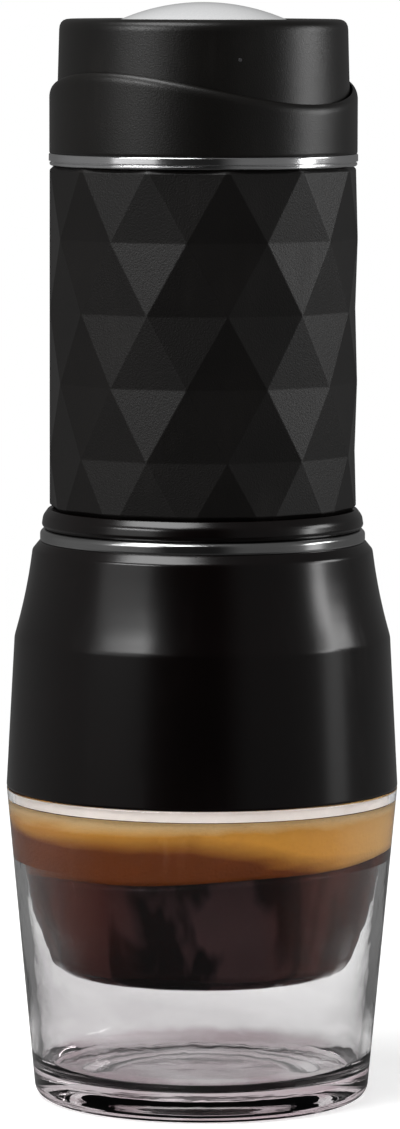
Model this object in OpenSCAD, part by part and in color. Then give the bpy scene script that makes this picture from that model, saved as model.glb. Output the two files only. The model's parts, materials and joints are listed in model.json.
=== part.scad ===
// Handheld manual espresso maker: a clear double-walled cup, a waisted brew skirt that presses on
// it, a water tank in a faceted grip sleeve, and a spring-back pump head behind a wavy collar.
// Millimetres, +Z up, origin at the centre of the cup's underside.

/* [Cup] */
// Height of the cup from the table to the skirt
cup_h = 57.6; // [54:0.2:64]
// Radius of the cup and of the skirt where they meet, the widest place
widest_r = 36; // [35:0.1:38]
// How much narrower the cup is at its foot
cup_taper = 5.4; // [4.6:0.1:6.4]
// Wall of the cup's outer shell
cup_wall = 2; // [1.6:0.1:2.4]
// Rounding of the cup's lower edge
cup_edge_r = 2.6; // [1.5:0.1:3.2]
// Thickness of the cup's solid base
cup_base_t = 5.4; // [4.6:0.1:7]
// Distance from the cup's side to the hollow under its base
foot_w = 8.6; // [6:0.1:12]
// Depth of the hollow under the base
punt_depth = 2.8; // [1.5:0.1:3.2]
// Height of the bowl's inside floor above the table
bowl_floor_z = 25; // [20:0.5:30]
// How much narrower the bowl is at its floor than under its flange
bowl_taper = 4.8; // [3.5:0.1:6]
// Wall of the bowl
bowl_wall = 1.6; // [1.2:0.1:2]
// Outer rounding of the bowl's lower edge
bowl_edge_r = 5; // [3:0.5:7]
// Thickness of the flange that joins the bowl to the shell
bowl_flange_t = 2.2; // [1.6:0.1:3]
// Height of the neck that enters the skirt
neck_h = 6; // [5:0.2:7]
// Wall of the neck
neck_wall = 2.3; // [2:0.1:2.6]
// Radius of the neck seal's section
cup_seal_t = 0.9; // [0.8:0.05:1]

/* [Brew skirt] */
// Height of the skirt
skirt_h = 45.3; // [42:0.1:50]
// Wall of the skirt
skirt_wall = 1.85; // [1.5:0.05:2.2]
// Height of the crease above the skirt's lower edge
crease_h = 27.7; // [24:0.1:31]
// How much narrower the skirt is at the crease than at its lower edge
skirt_taper = 1.5; // [1:0.1:2.4]
// How far the upper flank is hollowed in from a straight cone
flank_hollow = 0.35; // [0.1:0.05:0.8]
// Height of the sloped shoulder at the skirt's top
shoulder_h = 1.6; // [1:0.1:2.4]
// Width of the sloped shoulder
shoulder_w = 1.3; // [0.8:0.1:1.6]
// Thickness of the skirt's top deck
deck_t = 2.6; // [2:0.1:3.4]
// Height of the chrome ring on the skirt
trim_lower_h = 2.2; // [1.8:0.1:3]

/* [Filter] */
// Wall of the filter holder
holder_wall = 1.6; // [1.4:0.1:1.8]
// Thickness of the filter holder's flange
holder_flange_t = 1.6; // [1.2:0.1:1.7]
// Width of the basket's flange round its tube
basket_lip_w = 3.1; // [2.6:0.1:4]
// Sheet thickness of the basket
basket_t = 0.6; // [0.5:0.05:0.7]
// Depth of the basket under its flange
basket_depth = 19.9; // [17:0.1:21]
// Thickness of the basket's flange
basket_flange_t = 1; // [0.8:0.1:1.2]
// Thickness of the gasket on the basket
basket_gasket_t = 1.2; // [1:0.1:1.6]
// Number of hole rings in each perforated plate
screen_rings = 4; // [3:1:5]
// Radius of the holes in the perforated plates
screen_hole_r = 0.65; // [0.5:0.05:0.8]
// Length of the spout under the holder
spout_len = 10; // [8:0.5:10.5]
// Bore radius of the spout
spout_bore_r = 2.6; // [2:0.1:3]

/* [Water tank] */
// Radius at the corner points of the faceted sleeve
sleeve_r = 28.3; // [28:0.1:29.4]
// Height of the sleeve between the flange and the upper ring
sleeve_h = 62.7; // [61:0.1:72]
// Facets round the sleeve
sleeve_sides = 12; // [10:2:16]
// Rows of facets up the sleeve
sleeve_rows = 5; // [4:1:6]
// Turn of the facets about the axis, in degrees
sleeve_turn = 24; // [0:1:30]
// Thickness of the sleeve at its hollow edges
sleeve_wall = 1; // [0.8:0.1:1.2]
// Wall of the tank
tank_wall = 2; // [1.6:0.1:2.3]
// Thickness of the tank's floor
tank_floor_t = 2.7; // [2.4:0.1:3.4]
// Height of the flange under the sleeve
foot_ring_h = 3.7; // [3:0.1:4.4]
// How far the flange stands out from the sleeve's corner points
foot_overhang = 1.2; // [0.8:0.1:1.6]
// Length of the tank's neck in the filter holder
tank_neck_h = 7.5; // [6.8:0.1:8.5]
// Height of the chrome ring above the sleeve
trim_upper_h = 2.25; // [1.8:0.05:2.8]
// Thickness of the tank's gasket
tank_gasket_t = 1.15; // [1:0.05:1.4]

/* [Lid and collar] */
// Mean height of the wavy edge above the collar's foot
wave_h = 12.1; // [10:0.1:14]
// Rise and fall of the wavy edge
wave_rise = 2.85; // [0:0.05:4]
// Direction of the wave's crests about the axis, in degrees
wave_turn = 48; // [0:1:90]
// Thickness of the collar's wall
collar_wall = 1; // [0.8:0.05:1.2]
// Height of the rounding on the collar's edge
collar_lip_h = 1.8; // [1:0.1:2.5]
// Thickness of the lid's deck
lid_deck_t = 2.45; // [2:0.05:3]
// Length of the lid's plug in the tank's mouth
plug_h = 7.3; // [5:0.1:9]
// Wall of the lid's plug
plug_wall = 1.8; // [1.4:0.1:2]

/* [Pump] */
// Bore radius of the pump's barrel
bore_r = 8; // [7.8:0.1:9]
// Wall of the barrel and of its well
barrel_wall = 1.8; // [1.5:0.1:2]
// Width of the flange round the barrel's well
barrel_flange_w = 2.7; // [2.6:0.1:3.4]
// Travel of the pump
stroke = 22; // [18:0.5:24]
// Height of the piston
piston_h = 7; // [6.5:0.1:8]
// Radius of the piston rod
rod_r = 3; // [2.5:0.1:3.2]
// Height of the web that carries the rod's bush
web_t = 5; // [4.5:0.1:6]
// Radius of the inlet ball
ball_r = 1.35; // [1.2:0.05:1.45]
// Lift of the inlet ball
ball_lift = 1; // [0.6:0.1:1.1]
// Radius of the outlet poppet's head
poppet_r = 3.4; // [3.2:0.1:3.8]
// Travel of the outlet poppet
poppet_drop = 1.2; // [0.8:0.1:1.5]

/* [Head] */
// Height of the head's top above the collar's foot
head_h = 24.35; // [22.5:0.05:28]
// Rounding of the head's top edge
head_edge_r = 1.4; // [0.8:0.1:2]
// Draft of the head's side, as radius lost over its height
head_draft = 0.6; // [0.2:0.05:0.9]
// Wall of the head's shell
head_wall = 1.8; // [1.4:0.1:2.2]
// Thickness of the head's top
head_top_t = 4.4; // [4.2:0.1:5]
// Wall of the stem
stem_wall = 2.2; // [1.8:0.1:2.4]
// Reach of the lock lugs out of the stem
lug_reach = 2.2; // [1.8:0.1:2.4]
// Height of the lock lugs
lug_h = 3.3; // [2.5:0.1:4]
// Width of the lock lugs about the axis, in degrees
lug_angle = 28; // [20:1:34]
// Width of the head's rim round the crown disc
rim_w = 8.35; // [7:0.05:11]
// Radius of the crown disc's spherical top
crown_ball_r = 38; // [34:1:60]
// Height of the crown's peak above the head's top
crown_rise = 3.05; // [2.4:0.05:3.4]
// Gap between the return spring and the stem
spring_gap = 2.6; // [1.2:0.1:3]
// Radius of the return spring's wire
spring_wire = 0.8; // [0.6:0.05:0.9]
// Turns of the return spring
spring_turns = 8; // [6:1:10]

/* [Hidden] */
$fn = 96;
eps = 0.01;

// Clearances
slip = 0.1;        // between pieces of one assembly that slide together
seal_gap = 0.05;   // round the piston's seals
rod_gap = 0.05;    // round the piston rod
lift_gap = 0.25;   // between pieces that lift apart
touch = 0.05;      // between a spring or a valve and its seat

// Levels of the stack, from the table up
skirt_z = cup_h;
deck_z = skirt_z + skirt_h;
tank_z = deck_z + trim_lower_h;
sleeve_z = tank_z + foot_ring_h;
trim_upper_z = sleeve_z + sleeve_h;
lid_z = trim_upper_z + trim_upper_h;
deck_top_z = lid_z + lid_deck_t;
head_top_z = lid_z + head_h;

// Radii of the stack, from the sleeve out and in
foot_ring_r = sleeve_r + foot_overhang;
trim_lower_r = foot_ring_r + 0.3;
skirt_top_r = trim_lower_r + 0.1;
shoulder_r = skirt_top_r + shoulder_w;
collar_r = sleeve_r - 0.2;
collar_in_r = collar_r - collar_wall;
head_r = collar_in_r - lift_gap;
tank_r = sleeve_r * cos(180 / sleeve_sides) - sleeve_wall - slip;
tank_in_r = tank_r - tank_wall;
tank_neck_r = tank_r - 1.5;
tank_neck_in_r = tank_neck_r - 2.3;

// Cup neck and the skirt's socket
socket_r = widest_r - skirt_wall;
neck_r = socket_r - 0.95;
cup_foot_r = widest_r - cup_taper;
punt_r = cup_foot_r - foot_w;
crease_r = widest_r - skirt_taper;
bowl_top_r = neck_r - 0.2;
bowl_floor_r = bowl_top_r - bowl_taper;
neck_in_r = neck_r - neck_wall;
neck_top_z = cup_h + neck_h;
cup_seal_r = socket_r - lift_gap + slip / 2 - cup_seal_t;
cup_seal_z = cup_h + neck_h / 2;
flange_z = cup_h - bowl_flange_t;
bowl_flange_r = widest_r - cup_wall + 0.4;

// Filter
holder_r = tank_neck_r + lift_gap;
holder_out_r = holder_r + holder_wall;
holder_flange_r = holder_out_r + 1.3;
gasket_top_z = tank_z + 1 - tank_neck_h;
basket_rim_z = gasket_top_z - basket_gasket_t;
ledge_z = basket_rim_z - basket_flange_t;
basket_floor_z = ledge_z - basket_depth;
basket_rim_r = holder_r - slip;
basket_r = basket_rim_r - basket_lip_w;
chamber_r = basket_r + 0.8;
chamber_wall = 2;
chamber_out_r = chamber_r + chamber_wall;
chamber_floor_z = basket_floor_z - 1;
funnel_drop = 2;
holder_floor_t = 2;
holder_z = chamber_floor_z - funnel_drop - holder_floor_t;
holder_seat_h = 3;
spout_wall = 1.8;
spout_collar_w = 3;
spout_collar_t = 2;
spout_hole_r = spout_bore_r + spout_wall;
screen_t = 0.5;

// Tank
tank_floor_z = tank_z + 1 + tank_floor_t;
tank_rim_z = lid_z - tank_gasket_t;
row_drop = 2.75;
dispersion_z = gasket_top_z + 0.2;

// Lid, well and bayonet
plug_r = tank_in_r - lift_gap;
plug_in_r = plug_r - plug_wall;
barrel_flange_r = plug_in_r - lift_gap;
barrel_flange_t = 2;
well_out_r = barrel_flange_r - barrel_flange_w;
well_r = well_out_r - barrel_wall;
well_foot_t = 3;
lug_r = well_r - 0.6;
notch_r = lug_r + 0.4;
stem_r = lug_r - lug_reach;
stem_hole_r = stem_r + 0.4;
barrel_out_r = bore_r + barrel_wall;
screw_circle_r = (well_out_r + barrel_flange_r) / 2;
screw_r = 0.8;

// Pump, from the valve body up
valve_z = tank_z - 0.9;
seat_web_t = 1.8;
barrel_z = valve_z + 9.3;
spigot_h = 1.9;
ball_seat_z = valve_z + 6.8;
ball_x = bore_r - 2.4;
ball_hole_r = 0.9;
ball_bore_r = ball_r + lift_gap;
ball_z = ball_seat_z + sqrt(pow(ball_r, 2) - pow(ball_hole_r, 2)) + touch;
spigot_z = barrel_z + spigot_h;
piston_z = spigot_z + 0.5;
piston_r = bore_r - 0.4;
piston_seal_t = 0.9;
piston_seal_r = bore_r - seal_gap - piston_seal_t;
piston_top_z = piston_z + piston_h;
web_z = piston_top_z + stroke + 0.6;
well_floor_z = web_z + web_t;
bush_r = rod_r + 2;
rod_seal_z = web_z + 0.6;
rod_seal_h = 1.8;
outlet_r = ball_x - ball_bore_r - 0.8;
poppet_stem_r = 1.1;
outlet_port_r = 0.55;
outlet_ports_r = (poppet_stem_r + 0.15 + outlet_r) / 2;
collar_drop_z = valve_z + seat_web_t + 5;
foot_seal_t = 0.8;
foot_seal_z = tank_floor_z - tank_floor_t / 2;
socket_in_r = barrel_out_r + lift_gap;

// Head
head_foot_z = deck_top_z + 0.5;
head_ceiling_z = head_top_z - head_top_t;
crown_r = head_r - rim_w;
crown_sag = crown_ball_r - sqrt(pow(crown_ball_r, 2) - pow(crown_r, 2));
crown_seat_z = head_top_z + crown_rise - crown_sag - 0.5;
stem_foot_z = well_floor_z + 1.8;
spring_r = stem_r - stem_wall - spring_gap - spring_wire;
boss_h = 10;
washer_t = 1.2;
washer_r = stem_r - stem_wall - 0.6;
lug_top_z = lid_z - 0.4;
rod_top_z = crown_seat_z - 1.7;
rod_screw_r = 1.5;

// Points of the arc from a to b that bulges by sag to the left of the way from a to b
function arc_points(a, b, sag, steps) = let (
        chord = norm(b - a),
        left = [a[1] - b[1], b[0] - a[0]] / chord)
    [for (i = [0 : steps])
        let (t = i / steps, bow = 4 * sag * t * (1 - t))
        a + (b - a) * t + left * bow];

// Points of a quarter turn of radius r about c, from angle a0 to a1
function turn_points(c, r, a0, a1, steps) =
    [for (i = [0 : steps])
        let (a = a0 + (a1 - a0) * i / steps)
        c + r * [cos(a), sin(a)]];

// A ring with a rectangular section
module ring(r_in, r_out, z0, z1) {
    rotate_extrude()
        translate([r_in, z0])
            square([r_out - r_in, z1 - z0]);
}

// A ring with a round section
module o_ring(r, section_r, z) {
    rotate_extrude()
        translate([r, z])
            circle(r = section_r, $fn = 32);
}

// A flat plate with rings of holes, six more holes in each ring
module perforated_plate(r, z, thickness, field_r) {
    pitch = field_r / screen_rings;
    translate([0, 0, z])
        linear_extrude(thickness)
            difference() {
                circle(r);
                circle(screen_hole_r, $fn = 24);
                for (row = [1 : screen_rings], k = [0 : 6 * row - 1])
                    rotate(60 * k / row)
                        translate([pitch * row, 0])
                            circle(screen_hole_r, $fn = 24);
            }
}

// Height of a coil's wire after n turns: the first and the last turn lie close
function coil_z(n, turns, height, wire) = let (
        closed = 2.1 * wire,
        rise = (height - 2 * wire - 2 * closed) / (turns - 2))
    wire + (n < 1 ? n * closed
        : n > turns - 1 ? height - 2 * wire - (turns - n) * closed
        : closed + (n - 1) * rise);

// A compression spring that stands on z0
module coil_spring(r, wire, z0, height, turns, steps, sides) {
    count = turns * steps;
    points = [for (i = [0 : count], j = [0 : sides - 1])
        let (a = 360 * i / steps, b = 360 * j / sides, reach = r + wire * cos(b))
        [reach * cos(a), reach * sin(a), z0 + coil_z(i / steps, turns, height, wire) + wire * sin(b)]];
    walls = [for (i = [0 : count - 1], j = [0 : sides - 1])
        let (k = (j + 1) % sides)
        [i * sides + j, i * sides + k, (i + 1) * sides + k, (i + 1) * sides + j]];
    first = [for (j = [0 : sides - 1]) sides - 1 - j];
    last = [for (j = [0 : sides - 1]) count * sides + j];
    polyhedron(points, concat(walls, [first, last]), convexity = 10);
}

// ---------------------------------------------------------------- cup

module cup_shell() {
    taper = (widest_r - cup_foot_r) / cup_h;
    edge_angle = atan(taper);
    edge_x = cup_foot_r + cup_edge_r * taper - cup_edge_r * cos(edge_angle);
    inner_foot_r = cup_foot_r + cup_base_t * taper - cup_wall;
    color([0.92, 0.93, 0.93, 0.35])
        rotate_extrude()
            polygon(concat(
                [[0, punt_depth]],
                arc_points([punt_r - 6, punt_depth], [punt_r, 0], 0.5, 6),
                turn_points([edge_x, cup_edge_r], cup_edge_r, -90, -edge_angle, 8),
                [[widest_r - 0.02, cup_h - 0.4], [widest_r - 0.3, cup_h]],
                [[bowl_flange_r, cup_h], [bowl_flange_r, flange_z]],
                [[widest_r - cup_wall - bowl_flange_t * taper, flange_z]],
                [[inner_foot_r + 2 * taper, cup_base_t + 2], [inner_foot_r - 2, cup_base_t]],
                [[0, cup_base_t - 0.6]]));
}

module cup_liner() {
    under_z = bowl_floor_z - bowl_wall;
    corner = [bowl_floor_r - bowl_edge_r, under_z + bowl_edge_r];
    in_corner_r = bowl_edge_r - bowl_wall;
    color([0.92, 0.93, 0.93, 0.35])
        difference() {
            rotate_extrude()
                polygon(concat(
                    [[0, under_z - 2.6], [1.2, under_z - 2.6], [3.2, under_z]],
                    turn_points(corner, bowl_edge_r, -90, -8, 8),
                    [[bowl_top_r, flange_z], [bowl_flange_r, flange_z], [bowl_flange_r, cup_h]],
                    [[neck_r, cup_h], [neck_r, neck_top_z - 0.6], [neck_r - 0.6, neck_top_z]],
                    [[neck_in_r + 0.4, neck_top_z], [neck_in_r, neck_top_z - 0.4]],
                    [[neck_in_r, flange_z], [bowl_top_r - bowl_wall - 1.2, flange_z - 8]],
                    turn_points(corner, in_corner_r, -8, -90, 8),
                    [[0, bowl_floor_z]]));
            o_ring(cup_seal_r, cup_seal_t + touch, cup_seal_z);
        }
}

module cup_seal() {
    color([0.15, 0.15, 0.16])
        o_ring(cup_seal_r, cup_seal_t, cup_seal_z);
}

// ---------------------------------------------------------------- brew skirt

module skirt_shell() {
    shoulder_z = deck_z - shoulder_h;
    crease_z = skirt_z + crease_h;
    socket_z = neck_top_z + 1;
    color([0.06, 0.06, 0.065])
        rotate_extrude()
            polygon(concat(
                [[socket_r, skirt_z], [widest_r - 0.3, skirt_z], [widest_r, skirt_z + 0.4]],
                arc_points([crease_r, crease_z], [shoulder_r, shoulder_z], flank_hollow, 12),
                [[skirt_top_r, deck_z], [holder_out_r + slip, deck_z]],
                [[holder_out_r + slip, deck_z - deck_t], [shoulder_r - skirt_wall - 0.8, deck_z - deck_t]],
                [[shoulder_r - skirt_wall, deck_z - deck_t - 1.5]],
                arc_points([shoulder_r - skirt_wall + 0.2, deck_z - deck_t - 2.5],
                    [crease_r - skirt_wall, crease_z], -flank_hollow, 8),
                [[socket_r - 0.9, socket_z + 0.9], [socket_r, socket_z]]));
}

module filter_holder() {
    flange_top_z = deck_z + holder_flange_t;
    collar_z = ledge_z - holder_seat_h;
    color([0.1, 0.1, 0.11])
        difference() {
            rotate_extrude()
                polygon([
                    [holder_r, ledge_z], [holder_r, flange_top_z], [holder_flange_r, flange_top_z],
                    [holder_flange_r, deck_z], [holder_out_r, deck_z], [holder_out_r, collar_z],
                    [chamber_out_r, collar_z - holder_out_r + chamber_out_r],
                    [chamber_out_r, chamber_floor_z - chamber_wall / 2],
                    [chamber_r, chamber_floor_z - chamber_wall],
                    [spout_hole_r + spout_collar_w + slip, holder_z], [spout_hole_r, holder_z],
                    [spout_hole_r, holder_z + holder_floor_t],
                    [chamber_r, chamber_floor_z], [chamber_r, ledge_z]]);
            // three grooves let the coffee run down past the basket
            for (a = [0 : 120 : 240])
                rotate(a)
                    translate([chamber_r - 1, -1, chamber_floor_z + 1])
                        cube([1 + chamber_wall * 0.3, 2, ledge_z - chamber_floor_z - holder_seat_h]);
        }
}

module spout() {
    tip_r = spout_bore_r + 1;
    tip_z = holder_z - spout_len;
    collar_r1 = spout_hole_r + spout_collar_w;
    color([0.12, 0.12, 0.13])
        rotate_extrude()
            polygon([
                [spout_bore_r, tip_z], [tip_r, tip_z], [tip_r + 1.2, holder_z - spout_collar_t],
                [collar_r1, holder_z - spout_collar_t], [collar_r1, holder_z],
                [spout_hole_r - slip, holder_z], [spout_hole_r - slip, holder_z + holder_floor_t - 0.2],
                [spout_bore_r + 0.8, holder_z + holder_floor_t - 0.2],
                [spout_bore_r, holder_z + holder_floor_t / 2]]);
}

module filter_basket() {
    color([0.72, 0.73, 0.74])
        rotate_extrude()
            polygon([
                [basket_r - 2.2, basket_floor_z], [basket_r - 0.4, basket_floor_z],
                [basket_r, basket_floor_z + 0.4], [basket_r, ledge_z], [basket_rim_r, ledge_z],
                [basket_rim_r, basket_rim_z], [basket_r - basket_t + 0.3, basket_rim_z],
                [basket_r - basket_t, basket_rim_z - 0.3],
                [basket_r - basket_t, basket_floor_z + 0.8],
                [basket_r - 2.2, basket_floor_z + 0.8]]);
}

module basket_screen() {
    color([0.78, 0.79, 0.8])
        perforated_plate(basket_r - basket_t - slip, basket_floor_z + 0.8, screen_t, basket_r - 4);
}

module basket_gasket() {
    color([0.75, 0.2, 0.12])
        ring(basket_r + 0.4, basket_rim_r, basket_rim_z, gasket_top_z);
}

module trim_ring_lower() {
    color([0.8, 0.81, 0.83])
        rotate_extrude()
            polygon([
                [holder_flange_r + slip, deck_z], [trim_lower_r - 0.1, deck_z],
                [trim_lower_r, deck_z + 0.3], [trim_lower_r, tank_z - 0.6],
                [trim_lower_r - 0.6, tank_z], [holder_flange_r + slip, tank_z]]);
}

// ---------------------------------------------------------------- tank

module water_tank() {
    floor_under_z = tank_z + 1;
    color([0.14, 0.14, 0.15])
        rotate_extrude()
            polygon([
                [socket_in_r, floor_under_z], [tank_neck_in_r, floor_under_z],
                [tank_neck_in_r, gasket_top_z + 1.2], [tank_neck_in_r + 0.8, gasket_top_z + 1.2],
                [tank_neck_in_r + 0.8, gasket_top_z], [tank_neck_r - 0.4, gasket_top_z],
                [tank_neck_r, gasket_top_z + 0.4], [tank_neck_r, floor_under_z],
                [tank_r, floor_under_z], [tank_r, tank_rim_z], [tank_in_r + 0.3, tank_rim_z],
                [tank_in_r, tank_rim_z - 0.3], [tank_in_r, tank_floor_z + 2],
                [tank_in_r - 2, tank_floor_z], [socket_in_r, tank_floor_z]]);
}

module tank_foot_ring() {
    color([0.07, 0.07, 0.075])
        rotate_extrude()
            polygon([
                [tank_neck_r + slip, tank_z], [foot_ring_r - 0.6, tank_z],
                [foot_ring_r, tank_z + 0.8], [foot_ring_r - 0.3, sleeve_z - 0.9],
                [sleeve_r, sleeve_z], [tank_r + slip, sleeve_z], [tank_r + slip, tank_z + 1],
                [tank_neck_r + slip, tank_z + 1]]);
}

// The sleeve's facets: rings of corner points, each turned half a step against the ring below,
// joined by triangles whose level edges lie hollow and whose sloping edges stand proud
module facet_lattice(z0, z1) {
    n = sleeve_sides;
    pitch = (z1 - z0) / sleeve_rows;
    points = [for (row = [0 : sleeve_rows], k = [0 : n - 1])
        let (a = sleeve_turn + 360 * (k - (row % 2) / 2) / n)
        [sleeve_r * cos(a), sleeve_r * sin(a), z0 + pitch * row]];
    low = [for (row = [0 : sleeve_rows - 1], k = [0 : n - 1])
        let (next = (k + 1) % n, tip = row % 2 == 0 ? next : k)
        [row * n + k, (row + 1) * n + tip, row * n + next]];
    high = [for (row = [0 : sleeve_rows - 1], k = [0 : n - 1])
        let (next = (k + 1) % n, tip = row % 2 == 0 ? next : k)
        [row * n + next, (row + 1) * n + tip, (row + 1) * n + (tip + 1) % n]];
    floor = [for (k = [0 : n - 1]) k];
    roof = [for (k = [0 : n - 1]) sleeve_rows * n + n - 1 - k];
    polyhedron(points, concat(low, high, [floor, roof]), convexity = 4);
}

module grip_sleeve() {
    top_z = trim_upper_z;
    color([0.11, 0.11, 0.115])
        difference() {
            intersection() {
                facet_lattice(sleeve_z - row_drop, top_z + eps);
                rotate_extrude()
                    polygon([
                        [0, sleeve_z], [sleeve_r - 1.1, sleeve_z], [sleeve_r + 0.2, sleeve_z + 1.3],
                        [sleeve_r + 0.2, top_z - 1.2], [sleeve_r - 0.8, top_z], [0, top_z]]);
            }
            translate([0, 0, sleeve_z - 1])
                cylinder(r = tank_r + slip, h = sleeve_h + 2);
        }
}

module trim_ring_upper() {
    groove_z = trim_upper_z + 0.6;
    outer_r = collar_r + 0.1;
    color([0.8, 0.81, 0.83])
        rotate_extrude()
            polygon([
                [tank_r + slip, trim_upper_z], [outer_r - 0.4, trim_upper_z],
                [outer_r - 0.15, trim_upper_z + 0.2], [outer_r - 0.15, groove_z],
                [outer_r - 0.5, groove_z], [outer_r - 0.5, groove_z + 0.25],
                [outer_r, groove_z + 0.25], [outer_r, lid_z - 0.2], [outer_r - 0.2, lid_z],
                [tank_r + slip, lid_z]]);
}

module dispersion_screen() {
    color([0.78, 0.79, 0.8])
        perforated_plate(tank_neck_in_r + 0.7, dispersion_z, screen_t + 0.4, basket_r - 4);
}

// ---------------------------------------------------------------- lid and pump barrel

function wave_z(a) = lid_z + wave_h + wave_rise * cos(2 * (a - wave_turn));

// The wavy-topped wall round the head: one section, carried round the axis, whose top follows the
// wave and is rounded off towards the outside
module lid_collar(steps = 96, lip_steps = 5) {
    lip = [for (i = [0 : lip_steps])
        let (b = 90 * i / lip_steps)
        [collar_in_r + collar_wall * sin(b), -collar_lip_h * (1 - cos(b))]];
    n = lip_steps + 3;
    points = [for (i = [0 : steps - 1])
        let (a = 360 * i / steps,
            section = concat([[collar_in_r, lid_z]],
                [for (p = lip) [p[0], wave_z(a) + p[1]]], [[collar_r, lid_z]]))
        for (p = section) [p[0] * cos(a), p[0] * sin(a), p[1]]];
    faces = [for (i = [0 : steps - 1], j = [0 : n - 1])
        let (next = (i + 1) % steps, k = (j + 1) % n)
        [i * n + j, i * n + k, next * n + k, next * n + j]];
    color([0.1, 0.1, 0.105])
        polyhedron(points, faces, convexity = 6);
}

module bayonet_notches(z0, z1) {
    half = lug_angle / 2 + 3;
    reach = notch_r + 4;
    for (side = [0, 180])
        rotate(side)
            translate([0, 0, z0])
                linear_extrude(z1 - z0)
                    intersection() {
                        circle(notch_r);
                        polygon([[0, 0], reach * [cos(half), -sin(half)], reach * [cos(half), sin(half)]]);
                    }
}

module screw_places() {
    for (a = [90 : 120 : 330])
        rotate(a)
            translate([screw_circle_r, 0, 0])
                children();
}

module tank_lid() {
    color([0.16, 0.16, 0.17])
        difference() {
            rotate_extrude()
                polygon([
                    [stem_hole_r, lid_z], [plug_in_r, lid_z], [plug_in_r, lid_z - plug_h],
                    [plug_r - 0.4, lid_z - plug_h], [plug_r, lid_z - plug_h + 0.4],
                    [plug_r, lid_z], [collar_in_r - slip, lid_z], [collar_in_r - slip, deck_top_z],
                    [stem_hole_r + 0.4, deck_top_z], [stem_hole_r, deck_top_z - 0.4]]);
            bayonet_notches(lid_z - 1, deck_top_z + 1);
            screw_places()
                translate([0, 0, lid_z - 1])
                    cylinder(r = screw_r + touch, h = 2.8, $fn = 24);
        }
}

module tank_gasket() {
    color([0.75, 0.2, 0.12])
        ring(plug_r + slip, tank_r - slip, tank_rim_z, lid_z);
}

module pump_cylinder() {
    flange_z0 = lid_z - barrel_flange_t;
    color([0.2, 0.2, 0.21])
        difference() {
            rotate_extrude()
                polygon([
                    [bush_r, well_floor_z], [well_r, well_floor_z], [well_r, lid_z],
                    [barrel_flange_r, lid_z], [barrel_flange_r, flange_z0], [well_out_r, flange_z0],
                    [well_out_r, well_floor_z - well_foot_t + 2],
                    [well_out_r - 2, well_floor_z - well_foot_t],
                    [barrel_out_r, well_floor_z - well_foot_t], [barrel_out_r, barrel_z],
                    [bore_r, barrel_z],
                    [bore_r, web_z], [rod_r + 0.6, web_z], [rod_r + 0.6, rod_seal_z],
                    [bush_r, rod_seal_z]]);
            screw_places()
                translate([0, 0, flange_z0 - 1])
                    cylinder(r = screw_r + slip, h = barrel_flange_t + 2, $fn = 24);
        }
}

module cylinder_screws() {
    flange_z0 = lid_z - barrel_flange_t;
    color([0.7, 0.71, 0.73])
        screw_places()
            difference() {
                union() {
                    translate([0, 0, flange_z0 - 0.9])
                        cylinder(r = screw_r + 0.45, h = 0.9, $fn = 24);
                    translate([0, 0, flange_z0 - 0.4])
                        cylinder(r = screw_r, h = barrel_flange_t + 2, $fn = 24);
                }
                translate([-0.15, -screw_r, flange_z0 - 1])
                    cube([0.3, 2 * screw_r, 0.45]);
            }
}

module guide_bush() {
    color([0.85, 0.83, 0.76])
        rotate_extrude()
            polygon([
                [rod_r + rod_gap, rod_seal_z + rod_seal_h], [bush_r, rod_seal_z + rod_seal_h],
                [bush_r, well_floor_z], [rod_r + rod_gap + 0.3, well_floor_z],
                [rod_r + rod_gap, well_floor_z - 0.3]]);
}

module rod_seal() {
    color([0.15, 0.15, 0.16])
        ring(rod_r + rod_gap, bush_r, rod_seal_z, rod_seal_z + rod_seal_h);
}

module valve_body() {
    chamber_z = valve_z + seat_web_t;
    port_z = ball_seat_z - 1.9;
    color([0.86, 0.86, 0.84])
        difference() {
            union() {
                translate([0, 0, valve_z])
                    cylinder(r = barrel_out_r, h = barrel_z - valve_z);
                translate([0, 0, barrel_z - eps])
                    cylinder(r = bore_r - touch, h = spigot_h + eps);
            }
            // outlet: four ports that the poppet covers, and the chamber above them
            translate([0, 0, valve_z - 1])
                cylinder(r = poppet_stem_r + 0.15, h = seat_web_t + 2, $fn = 32);
            for (a = [45 : 90 : 315])
                rotate(a)
                    translate([outlet_ports_r, 0, valve_z - 1])
                        cylinder(r = outlet_port_r, h = seat_web_t + 2, $fn = 24);
            translate([0, 0, chamber_z])
                cylinder(r = outlet_r, h = spigot_z - chamber_z + 1);
            // inlet: side port, ball seat, ball cage and its lip
            translate([ball_x, 0, port_z])
                rotate([0, 90, 0])
                    cylinder(r = 0.8, h = barrel_out_r, $fn = 24);
            translate([ball_x, 0, port_z - 0.8])
                cylinder(r = ball_hole_r, h = ball_seat_z - port_z + 1, $fn = 24);
            translate([ball_x, 0, ball_seat_z])
                cylinder(r = ball_bore_r, h = 2 * ball_r + ball_lift + 0.2, $fn = 32);
            translate([ball_x, 0, ball_seat_z])
                cylinder(r = ball_r - 0.35, h = spigot_z - ball_seat_z + 1, $fn = 32);
            o_ring(barrel_out_r + 0.1 - foot_seal_t, foot_seal_t + touch, foot_seal_z);
        }
}

module foot_seal() {
    color([0.15, 0.15, 0.16])
        o_ring(barrel_out_r + 0.1 - foot_seal_t, foot_seal_t, foot_seal_z);
}

module inlet_ball() {
    color([0.8, 0.8, 0.82])
        translate([ball_x, 0, ball_z])
            sphere(r = ball_r, $fn = 48);
}

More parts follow.
